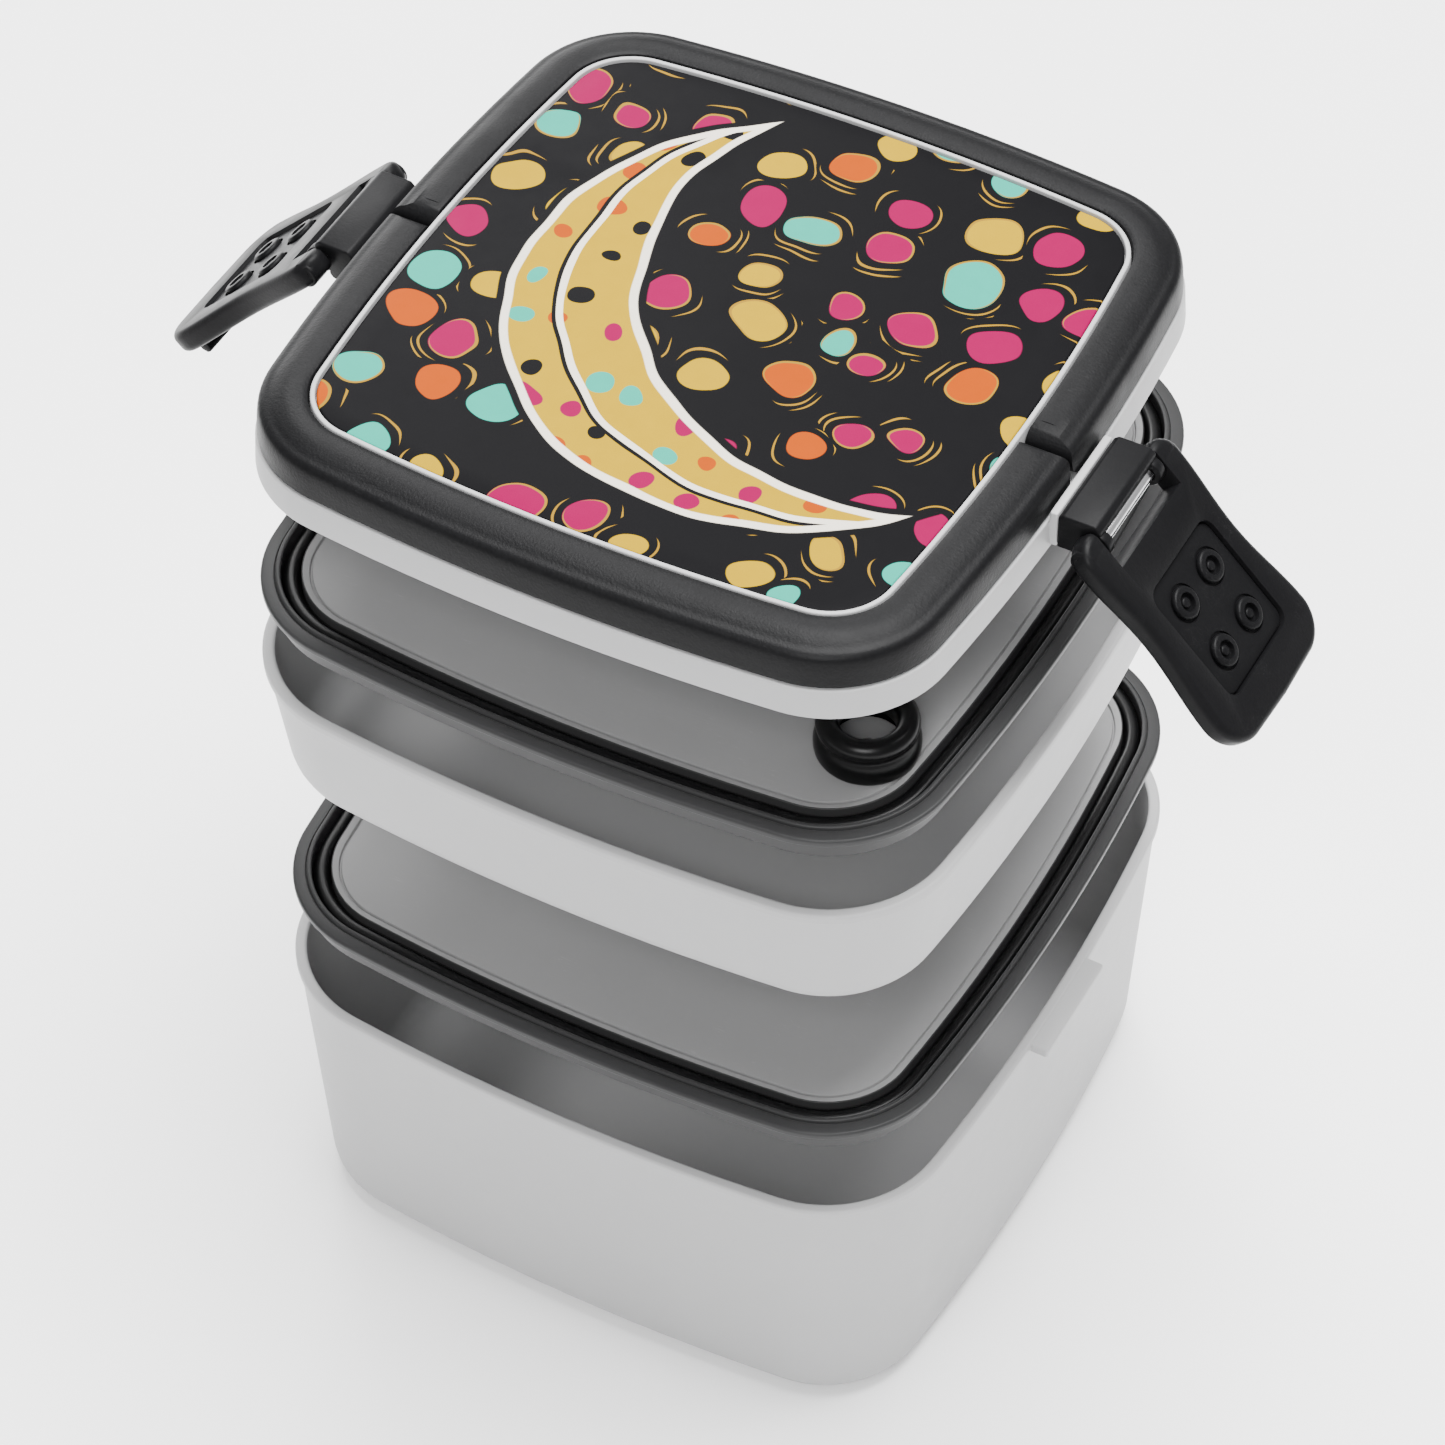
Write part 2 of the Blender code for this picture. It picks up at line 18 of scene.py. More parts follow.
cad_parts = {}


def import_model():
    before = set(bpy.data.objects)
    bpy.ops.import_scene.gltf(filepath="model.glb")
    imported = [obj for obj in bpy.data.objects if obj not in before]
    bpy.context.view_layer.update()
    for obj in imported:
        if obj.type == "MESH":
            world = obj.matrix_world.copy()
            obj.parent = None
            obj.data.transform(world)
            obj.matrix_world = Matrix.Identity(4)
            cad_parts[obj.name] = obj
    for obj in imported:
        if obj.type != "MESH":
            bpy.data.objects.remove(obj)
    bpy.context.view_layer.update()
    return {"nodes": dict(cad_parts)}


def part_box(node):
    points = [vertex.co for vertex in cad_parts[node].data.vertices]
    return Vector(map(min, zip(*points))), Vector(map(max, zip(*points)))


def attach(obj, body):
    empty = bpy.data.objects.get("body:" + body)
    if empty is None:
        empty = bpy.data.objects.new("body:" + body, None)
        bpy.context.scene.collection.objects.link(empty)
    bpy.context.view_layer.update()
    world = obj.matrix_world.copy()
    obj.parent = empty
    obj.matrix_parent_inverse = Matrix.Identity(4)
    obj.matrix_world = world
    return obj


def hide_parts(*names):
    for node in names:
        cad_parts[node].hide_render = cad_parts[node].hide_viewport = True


MM = 0.001
SMOOTH_ANGLE = math.radians(32.0)
LATCH_SMOOTH_ANGLE = math.radians(40.0)
VENT_SMOOTH_ANGLE = math.radians(50.0)
MERGE = 0.0004 * MM
SPIN_MERGE = 0.002 * MM
RING_START = 0.05
ROD_SIDES = 40
SEGMENT_SHARE = 0.48
SPECKLE_SCALE = 1400.0
STREAK_SCALE = 240.0
SMUDGE_SCALE = 38.0
SMUDGE_EDGES = (0.52, 0.70)
PIT_SCALE = 0.6
SCUFF_LAYERS = ((0.5, 420.0), (2.1, 560.0))
SCUFF_GAIN = 1.6
SCUFF_LIFT = 0.02
SCUFF_DULLING = 0.15
DOT_WOBBLE_SCALE = 85.0
DOT_WOBBLE = 0.0042
DOT_RANDOMNESS = 0.58
DOT_EDGE = 0.008
DOT_ROOM = 0.86
RINGED_FROM = 0.40
SMALL_UNTIL = 0.55
LOG = logging.getLogger("bento")

Point2 = tuple[float, float]
Corner = tuple[float, float, float]
Colour = tuple[float, float, float, float]


class Side(Enum):
    """The two latched sides, each with the turn about Z that takes the right side there."""

    RIGHT = 0.0
    LEFT = math.pi


class Slot(Enum):
    """Material slots of the record."""

    WHITE = "white_plastic"
    SMOKE = "smoke_plastic"
    SILICONE = "silicone"
    SOFT = "soft_black"
    BLACK = "black_plastic"
    PRINT = "printed_panel"
    STEEL = "pin_steel"


# ---------------------------------------------------------------- outlines and sections


@dataclass(frozen=True)
class Arcs:
    """The arcs that make one outline of the plan, in millimetres and radians."""

    side_radius: float
    corner_radius: float
    side_centre: float
    corner_centre: float
    lean: float


@dataclass(frozen=True)
class Plan:
    """A square with bowed sides and round corners, sized by its rim."""

    rim_half: float = 78.0
    side_radius: float = 500.0
    corner_radius: float = 28.0
    least_corner: float = 1.0
    side_steps: int = 14
    corner_steps: int = 18

    def arcs(self, half: float) -> Arcs:
        """Arcs of the parallel outline with this half-width.

        Args:
            half: half-width across the middles of the sides, in millimetres.

        Returns:
            The arcs of its sides and corners.
        """
        inset = self.rim_half - half
        side_radius = self.side_radius - inset
        corner_radius = max(self.corner_radius - inset, self.least_corner)
        side_centre = half - side_radius
        reach = side_radius - corner_radius
        middle = (side_centre + math.sqrt(2 * reach**2 - side_centre**2)) / 2
        lean = math.atan2(middle, middle - side_centre)
        return Arcs(side_radius, corner_radius, side_centre, middle, lean)

    def outline(self, half: float) -> list[Point2]:
        """Points of the parallel outline with this half-width.

        Args:
            half: half-width across the middles of the sides, in millimetres.

        Returns:
            The points, counter-clockwise from the +X side.
        """
        arcs = self.arcs(half)
        middle, lean = arcs.corner_centre, arcs.lean
        quarter = []
        for i in range(self.side_steps):
            turn = lean * (2 * i / self.side_steps - 1)
            x = arcs.side_centre + arcs.side_radius * math.cos(turn)
            quarter.append((x, arcs.side_radius * math.sin(turn)))
        for i in range(self.corner_steps):
            turn = lean + (math.pi / 2 - 2 * lean) * i / self.corner_steps
            x = middle + arcs.corner_radius * math.cos(turn)
            quarter.append((x, middle + arcs.corner_radius * math.sin(turn)))
        points = list(quarter)
        for _ in range(3):
            quarter = [(-y, x) for x, y in quarter]
            points += quarter
        return points

    def outside(self, x: float, y: float, half: float) -> bool:
        """Whether a point lies outside the outline with this half-width.

        Args:
            x: place across, in millimetres.
            y: place along, in millimetres.
            half: half-width of the outline, in millimetres.

        Returns:
            True outside the outline, False on it or within it.
        """
        arcs = self.arcs(half)
        x, y = max(abs(x), abs(y)), min(abs(x), abs(y))
        if math.atan2(y, x - arcs.side_centre) <= arcs.lean:
            return math.hypot(x - arcs.side_centre, y) > arcs.side_radius
        return math.hypot(x - arcs.corner_centre, y - arcs.corner_centre) > arcs.corner_radius


PLAN = Plan()


def filleted(corners: Sequence[Corner], closed: bool, steps: int = 4) -> list[Point2]:
    """Rounds the corners of a section.

    Args:
        corners: (across, up, radius) of each corner.
        closed: whether the section closes on itself.
        steps: segments of each round.

    Returns:
        The points of the rounded section.
    """
    points: list[Point2] = []
    count = len(corners)
    for i, (a, b, radius) in enumerate(corners):
        at_end = not closed and i in (0, count - 1)
        if radius <= 0 or at_end:
            points.append((a, b))
            continue
        here = Vector((a, b))
        before = Vector(corners[i - 1][:2]) - here
        after = Vector(corners[(i + 1) % count][:2]) - here
        opening = before.angle(after)
        room = SEGMENT_SHARE * min(before.length, after.length)
        reach = min(radius / math.tan(opening / 2), room)
        radius = reach * math.tan(opening / 2)
        start = here + before.normalized() * reach
        middle = (before.normalized() + after.normalized()).normalized()
        centre = here + middle * (radius / math.sin(opening / 2))
        first = start - centre
        sweep = math.pi - opening
        sign = 1.0 if before.cross(after) < 0 else -1.0
        for step in range(steps + 1):
            spoke = first.copy()
            spoke.rotate(Matrix.Rotation(sign * sweep * step / steps, 2))
            points.append((centre.x + spoke.x, centre.y + spoke.y))
    return points


def flowing(points: Sequence[Point2], steps: int = 4) -> list[Point2]:
    """A smooth curve through points: a Catmull-Rom spline.

    Args:
        points: the points that the curve passes.
        steps: segments between one point and the next.

    Returns:
        The points of the curve, the last one included.
    """
    ends = [points[0], *points, points[-1]]
    curve: list[Point2] = []
    for before, start, end, after in zip(ends, ends[1:], ends[2:], ends[3:]):
        for i in range(steps):
            t = i / steps
            weights = (
                (-t + 2 * t**2 - t**3) / 2,
                (2 - 5 * t**2 + 3 * t**3) / 2,
                (t + 4 * t**2 - 3 * t**3) / 2,
                (t**3 - t**2) / 2,
            )
            four = (before, start, end, after)
            curve.append(tuple(sum(w * p[axis] for w, p in zip(weights, four)) for axis in (0, 1)))
    return curve + [points[-1]]


# ---------------------------------------------------------------- modelling by hand


def clear_selection() -> None:
    """Leaves edit mode and deselects everything."""
    if bpy.context.mode != "OBJECT":
        bpy.ops.object.mode_set(mode="OBJECT")
    bpy.ops.object.select_all(action="DESELECT")


def activate(obj: bpy.types.Object) -> None:
    """Makes obj the only selected object."""
    clear_selection()
    obj.select_set(True)
    bpy.context.view_layer.objects.active = obj


def place_selected(obj: bpy.types.Object, spots: Sequence[Vector]) -> None:
    """Puts each selected vertex of a ring at its own spot, by the ring's numbering.

    Args:
        obj: the piece, in edit mode.
        spots: where each vertex goes, in metres.
    """
    bm = bmesh.from_edit_mesh(obj.data)
    order = bm.verts.layers.int["order"]
    for vert in bm.verts:
        if vert.select:
            vert.co = spots[vert[order]]
    bmesh.update_edit_mesh(obj.data)


def drawn_ring(name: str, spots: Sequence[Vector], fill: bool = False) -> bpy.types.Object:
    """Adds a circle and shapes it into a ring, left in edit mode.

    Args:
        name: name of the new piece.
        spots: where each vertex goes, in metres.
        fill: whether the ring is filled with a face.

    Returns:
        The new object, in edit mode with the ring selected.
    """
    clear_selection()
    kind = "NGON" if fill else "NOTHING"
    bpy.ops.mesh.primitive_circle_add(vertices=len(spots), radius=RING_START, fill_type=kind)
    obj = bpy.context.object
    obj.name = name
    obj.data.name = name
    bpy.ops.object.mode_set(mode="EDIT")
    bm = bmesh.from_edit_mesh(obj.data)
    order = bm.verts.layers.int.new("order")
    for index, vert in enumerate(bm.verts):
        vert[order] = index
    bmesh.update_edit_mesh(obj.data)
    bpy.ops.mesh.select_all(action="SELECT")
    place_selected(obj, spots)
    return obj


def close_mesh(obj: bpy.types.Object, merge: float = MERGE) -> bpy.types.Object:
    """Merges doubles, points the faces outwards and leaves edit mode.

    Args:
        obj: the piece.
        merge: how near doubles are, in metres.

    Returns:
        The same piece.
    """
    if bpy.context.mode == "OBJECT":
        activate(obj)
        bpy.ops.object.mode_set(mode="EDIT")
    bpy.ops.mesh.select_all(action="SELECT")
    bpy.ops.mesh.remove_doubles(threshold=merge)
    bpy.ops.mesh.normals_make_consistent(inside=False)
    bpy.ops.object.mode_set(mode="OBJECT")
    order = obj.data.attributes.get("order")
    if order:
        obj.data.attributes.remove(order)
    return obj


def swept(name: str, section: Sequence[Point2], base: float, closed: bool) -> bpy.types.Object:
    """Extrudes the plan's outline along a section.

    Args:
        name: name of the new piece.
        section: (half-width, height) of each station, in millimetres.
        base: height of the section's zero, in metres.
        closed: whether the last station returns to the first. If not, both are capped.

    Returns:
        The closed piece.
    """

    def spots(half: float, z: float) -> list[Vector]:
        """Places of one station's vertices, in metres."""
        return [Vector((x * MM, y * MM, base + z * MM)) for x, y in PLAN.outline(half)]

    obj = drawn_ring(name, spots(*section[0]))
    stations = list(section[1:]) + ([section[0]] if closed else [])
    for half, z in stations:
        bpy.ops.mesh.extrude_edges_move()
        place_selected(obj, spots(half, z))
    if not closed:
        bpy.ops.mesh.select_all(action="SELECT")
        bpy.ops.mesh.fill_holes(sides=0)
    return close_mesh(obj)


def spun(name: str, section: Sequence[Point2], centre: Vector, steps: int) -> bpy.types.Object:
    """Spins a closed section about a vertical axis.

    Args:
        name: name of the new piece.
        section: (radius, height) of each point, in millimetres.
        centre: the axis and the section's zero, in metres.
        steps: segments of the turn.

    Returns:
        The closed piece.
    """
    spots = [centre + Vector((r * MM, 0.0, z * MM)) for r, z in section]
    obj = drawn_ring(name, spots)
    turn = {"steps": steps, "angle": 2 * math.pi, "center": centre, "axis": (0, 0, 1)}
    bpy.ops.mesh.spin(**turn)
    return close_mesh(obj, SPIN_MERGE)


def plate(
    name: str, outline: Sequence[Point2], low: float, high: float, spot: Callable[..., Vector]
) -> bpy.types.Object:
    """Fills an outline and extrudes it from one depth to another.

    Args:
        name: name of the new piece.
        outline: points (a, b) in millimetres.
        low: depth of the first face, in millimetres.
        high: depth of the other face.
        spot: gives the place of (a, b, depth), in metres.

    Returns:
        The closed plate.
    """
    obj = drawn_ring(name, [spot(a, b, low) for a, b in outline], fill=True)
    bpy.ops.mesh.extrude_region_move()
    place_selected(obj, [spot(a, b, high) for a, b in outline])
    return close_mesh(obj)


def facing_out(a: float, b: float, depth: float) -> Vector:
    """(across, up, outwards) in millimetres, on a face that looks along +X."""
    return Vector((depth * MM, a * MM, b * MM))


def upright(a: float, b: float, depth: float) -> Vector:
    """(outwards, up, along) in millimetres, on a section that stands in the XZ plane."""
    return Vector((a * MM, depth * MM, b * MM))


def block(name: str, low: Sequence[float], high: Sequence[float]) -> bpy.types.Object:
    """Adds a cube stretched between two corners, as a tool for cuts and joins.

    Args:
        name: name of the new piece.
        low: its lowest corner, in millimetres.
        high: its highest corner.

    Returns:
        The block.
    """
    clear_selection()
    bpy.ops.mesh.primitive_cube_add(size=1.0)
    obj = bpy.context.object
    obj.name = name
    obj.scale = [(b - a) * MM for a, b in zip(low, high)]
    obj.location = [(a + b) / 2 * MM for a, b in zip(low, high)]
    bpy.ops.object.transform_apply(location=True, rotation=True, scale=True)
    return obj


def rod(
    name: str, radius: float, start: Sequence[float], end: Sequence[float], edge: float = 0.0
) -> bpy.types.Object:
    """Adds a cylinder between two points, with rounded end edges.

    Args:
        name: name of the new piece.
        radius: its radius, in millimetres.
        start: one end, in millimetres.
        end: the other end.
        edge: width of the round at each end, in millimetres.

    Returns:
        The closed rod.
    """
    clear_selection()
    along = Vector(end) - Vector(start)
    bpy.ops.mesh.primitive_cylinder_add(
        vertices=ROD_SIDES,
        radius=radius * MM,
        depth=along.length * MM,
        location=(Vector(start) + Vector(end)) / 2 * MM,
        rotation=along.to_track_quat("Z", "Y").to_euler(),
    )
    obj = bpy.context.object
    obj.name = name
    bpy.ops.object.transform_apply(location=True, rotation=True, scale=True)
    if edge > 0:
        rounded(obj, edge, 3)
    return obj


def apply_all(obj: bpy.types.Object) -> None:
    """Applies every modifier of obj, in order."""
    activate(obj)
    for modifier in list(obj.modifiers):
        bpy.ops.object.modifier_apply(modifier=modifier.name)


def rounded(obj: bpy.types.Object, width: float, segments: int = 3, angle: float = 40.0) -> None:
    """Rounds a piece's sharp edges and applies it.

    Args:
        obj: the piece.
        width: width of the round, in millimetres.
        segments: segments of the round.
        angle: edges sharper than this, in degrees, are rounded.
    """
    bevel = obj.modifiers.new("rounded", "BEVEL")
    bevel.width = width * MM
    bevel.segments = segments
    bevel.limit_method = "ANGLE"
    bevel.angle_limit = math.radians(angle)
    bevel.use_clamp_overlap = True
    apply_all(obj)


def combine(target: bpy.types.Object, operation: str, tool: bpy.types.Object) -> None:
    """Joins a tool to a piece or cuts it out, and removes the tool.

    Args:
        target: the piece.
        operation: UNION or DIFFERENCE.
        tool: the other piece.
    """
    boolean = target.modifiers.new("combine", "BOOLEAN")
    boolean.operation = operation
    boolean.solver = "EXACT"
    boolean.object = tool
    apply_all(target)
    mesh = tool.data
    bpy.data.objects.remove(tool)
    bpy.data.meshes.remove(mesh)


def turned_copy(obj: bpy.types.Object, name: str, matrix: Matrix) -> bpy.types.Object:
    """Copies a piece with its own mesh, and turns the copy's mesh.

    Args:
        obj: the piece.
        name: name of the copy.
        matrix: how the copy is turned.

    Returns:
        The copy.
    """
    copy = obj.copy()
    copy.data = obj.data.copy()
    copy.name = name
    copy.data.name = name
    bpy.context.collection.objects.link(copy)
    copy.data.transform(matrix)
    copy.data.update()
    return copy


def smooth(obj: bpy.types.Object, angle: float = SMOOTH_ANGLE) -> None:
    """Smooth shading that keeps edges sharper than angle."""
    activate(obj)
    bpy.ops.object.shade_smooth_by_angle(angle=angle)


# ---------------------------------------------------------------- shader groups


class Sheet:
    """A node tree with short calls for adding and joining nodes."""

    def __init__(self, tree: bpy.types.NodeTree) -> None:
        """Wraps a node tree."""
        self.tree = tree

    def add(self, kind: str, **settings: object) -> bpy.types.Node:
        """Adds a node.

        Args:
            kind: the node's type.
            settings: its properties.

        Returns:
            The node.
        """
        node = self.tree.nodes.new(kind)
        for name, value in settings.items():
            setattr(node, name, value)
        return node

    def feed(self, node: bpy.types.Node, socket: object, value: object) -> None:
        """Sets an input, or links it to another node's output.

        Args:
            node: the node that is fed.
            socket: name or number of its input.
            value: a number, a colour or an output.
        """
        target = node.inputs[socket]
        if isinstance(value, bpy.types.NodeSocket):
            self.tree.links.new(value, target)
        else:
            target.default_value = value

    def maths(self, operation: str, *values: object, clamp: bool = False) -> bpy.types.NodeSocket:
        """Adds a Math node.

        Args:
            operation: what it does.
            values: its numbers or the outputs that feed it.
            clamp: whether the result stays between 0 and 1.

        Returns:
            Its result.
        """
        node = self.add("ShaderNodeMath", operation=operation, use_clamp=clamp)
        for index, value in enumerate(values):
            self.feed(node, index, value)
        return node.outputs[0]

    def blend(self, share: object, first: object, second: object) -> bpy.types.NodeSocket:
        """Mixes two colours.

        Args:
            share: how much of the second, from 0 to 1.
            first: the first colour.
            second: the second colour.

        Returns:
            The mixed colour.
        """
        node = self.add("ShaderNodeMix", data_type="RGBA", blend_type="MIX")
        self.feed(node, "Factor", share)
        self.feed(node, 6, first)
        self.feed(node, 7, second)
        return node.outputs[2]

    def step(self, value: object, low: float, high: float) -> bpy.types.NodeSocket:
        """Adds a soft step.

        Args:
            value: what it looks at.
            low: where it starts to rise from 0.
            high: where it reaches 1.

        Returns:
            The step.
        """
        node = self.add("ShaderNodeMapRange", interpolation_type="SMOOTHSTEP", clamp=True)
        self.feed(node, "Value", value)
        self.feed(node, "From Min", low)
        self.feed(node, "From Max", high)
        return node.outputs[0]

    def noise(self, scale: object, detail: float, vector: object = None) -> bpy.types.NodeSocket:
        """Adds a noise texture.

        Args:
            scale: how fine it is.
            detail: how many finer layers it has.
            vector: its coordinates, if they are not the usual ones.

        Returns:
            Its value, about 0.5.
        """
        node = self.add("ShaderNodeTexNoise")
        self.feed(node, "Scale", scale)
        self.feed(node, "Detail", detail)
        if vector is not None:
            self.feed(node, "Vector", vector)
        return node.outputs["Fac"]

    def place(self) -> bpy.types.NodeSocket:
        """The Object coordinates."""
        return self.add("ShaderNodeTexCoord").outputs["Object"]


def new_group(name: str, inputs: dict[str, object], outputs: dict[str, str]) -> Sheet:
    """Starts a shader group with named sockets.

    Args:
        name: name of the group.
        inputs: default value of each input: a number, or a colour as a tuple.
        outputs: kind of each output, Float or Color.

    Returns:
        The group's sheet, with no nodes yet.
    """
    tree = bpy.data.node_groups.new(name, "ShaderNodeTree")
    for label, value in inputs.items():
        kind = "NodeSocketColor" if isinstance(value, tuple) else "NodeSocketFloat"
        socket = tree.interface.new_socket(label, in_out="INPUT", socket_type=kind)
        socket.default_value = value
    for label, kind in outputs.items():
        tree.interface.new_socket(label, in_out="OUTPUT", socket_type=f"NodeSocket{kind}")
    return Sheet(tree)


def surface_group() -> bpy.types.NodeTree:
    """Moulded surface: cloudy tint, uneven gloss with handling smudges, and a fine grain."""
    sheet = new_group(
        "moulded_surface",
        {
            "Colour": (0.5, 0.5, 0.5, 1.0),
            "Tint": 0.05,
            "Cloud Scale": 60.0,
            "Speckle": 0.25,
            "Roughness": 0.4,
            "Roughness Swing": 0.05,
            "Grain Scale": 3000.0,
            "Smudge": 0.05,
        },
        {"Colour": "Color", "Roughness": "Float", "Height": "Float"},
    )
    given = sheet.add("NodeGroupInput").outputs
    place = sheet.place()
    cloud = sheet.noise(given["Cloud Scale"], 4.0, place)
    centred = sheet.maths("SUBTRACT", cloud, 0.5)
    bright = sheet.maths("MULTIPLY_ADD", centred, given["Tint"], 1.0)
    speckle = sheet.maths("SUBTRACT", sheet.noise(SPECKLE_SCALE, 2.0, place), 0.5)
    speckle = sheet.maths("MULTIPLY", speckle, given["Speckle"])
    bright = sheet.maths("MULTIPLY_ADD", speckle, given["Tint"], bright)
    tinted = sheet.add("ShaderNodeHueSaturation")
    sheet.feed(tinted, "Color", given["Colour"])
    sheet.feed(tinted, "Value", bright)
    streaks = sheet.maths("SUBTRACT", sheet.noise(STREAK_SCALE, 3.0, place), 0.5)
    smudge = sheet.step(sheet.noise(SMUDGE_SCALE, 5.0, place), *SMUDGE_EDGES)
    rough = sheet.maths("MULTIPLY_ADD", streaks, given["Roughness Swing"], given["Roughness"])
    rough = sheet.maths("MULTIPLY_ADD", smudge, given["Smudge"], rough)
    grain = sheet.noise(given["Grain Scale"], 3.0, place)
    pits = sheet.add("ShaderNodeTexVoronoi", feature="SMOOTH_F1")
    sheet.feed(pits, "Vector", place)
    sheet.feed(pits, "Scale", sheet.maths("MULTIPLY", given["Grain Scale"], PIT_SCALE))
    height = sheet.maths("MULTIPLY_ADD", pits.outputs["Distance"], 0.5, grain)
    out = sheet.add("NodeGroupOutput")
    sheet.feed(out, "Colour", tinted.outputs[0])
    sheet.feed(out, "Roughness", rough)
    sheet.feed(out, "Height", height)
    return sheet.tree


def scuff_group() -> bpy.types.NodeTree:
    """Hairline scuffs: sparse thin streaks, stretched along one direction."""
    sheet = new_group("hairline_scuffs", {"Amount": 0.5, "Stretch": 14.0}, {"Mask": "Float"})
    given = sheet.add("NodeGroupInput").outputs
    place = sheet.place()
    masks = []
    for turn, scale in SCUFF_LAYERS:
        mapping = sheet.add("ShaderNodeMapping")
        sheet.feed(mapping, "Vector", place)
        mapping.inputs["Rotation"].default_value = (turn, turn * 0.6, turn)
        join = sheet.add("ShaderNodeCombineXYZ")
        sheet.feed(join, "X", 1.0)
        sheet.feed(join, "Y", given["Stretch"])
        sheet.feed(join, "Z", given["Stretch"])
        sheet.feed(mapping, "Scale", join.outputs[0])
        line = sheet.noise(scale / 8.0, 2.0, mapping.outputs[0])
        thin = sheet.maths("ABSOLUTE", sheet.maths("SUBTRACT", line, 0.5))
        near = sheet.maths("SUBTRACT", 1.0, sheet.step(thin, 0.002, 0.008))
        patch = sheet.step(sheet.noise(scale / 5.0, 2.0, place), 0.56, 0.66)
        masks.append(sheet.maths("MULTIPLY", near, patch))
    both = sheet.maths("MAXIMUM", masks[0], masks[1])
    out = sheet.add("NodeGroupOutput")
    sheet.feed(out, "Mask", sheet.maths("MULTIPLY", both, given["Amount"], clamp=True))
    return sheet.tree


@dataclass(frozen=True)
class Stroke:
    """A brush stroke round a dot, in cells and radians.

    offset is its distance outside the dot's edge, width half its thickness at its middle, span
    half the angle that it covers and lean the angle of its middle from the dot's own mark.
    """

    offset: float
    width: float
    span: float
    lean: float
    core: float = 0.65

    def mask(self, sheet: Sheet, gap: object, turned: object) -> bpy.types.NodeSocket:
        """The stroke, bent round its dot and thinned towards both ends.

        Args:
            sheet: the sheet that it is drawn on.
            gap: distance outside the dot's edge.
            turned: direction from the dot's middle, from the dot's own mark.

        Returns:
            The stroke's mask.
        """
        turn = sheet.maths("WRAP", sheet.maths("SUBTRACT", turned, self.lean), math.pi, -math.pi)
        square = sheet.maths("POWER", sheet.maths("DIVIDE", turn, self.span), 2.0)
        share = sheet.maths("MINIMUM", square, 1.0)
        away = sheet.maths("ABSOLUTE", sheet.maths("SUBTRACT", gap, self.offset))
        thinned = sheet.maths("MULTIPLY_ADD", share, self.width, away)
        soft = sheet.step(thinned, self.width * self.core, self.width)
        return sheet.maths("SUBTRACT", 1.0, soft)


CONTOUR = Stroke(-0.012, 0.022, 3.0, 2.4)
NEAR_ARC = Stroke(0.120, 0.021, 0.95, 0.0)
FAR_ARC = Stroke(0.215, 0.019, 0.60, 0.3)
BACK_ARC = Stroke(0.165, 0.020, 0.70, 2.9)


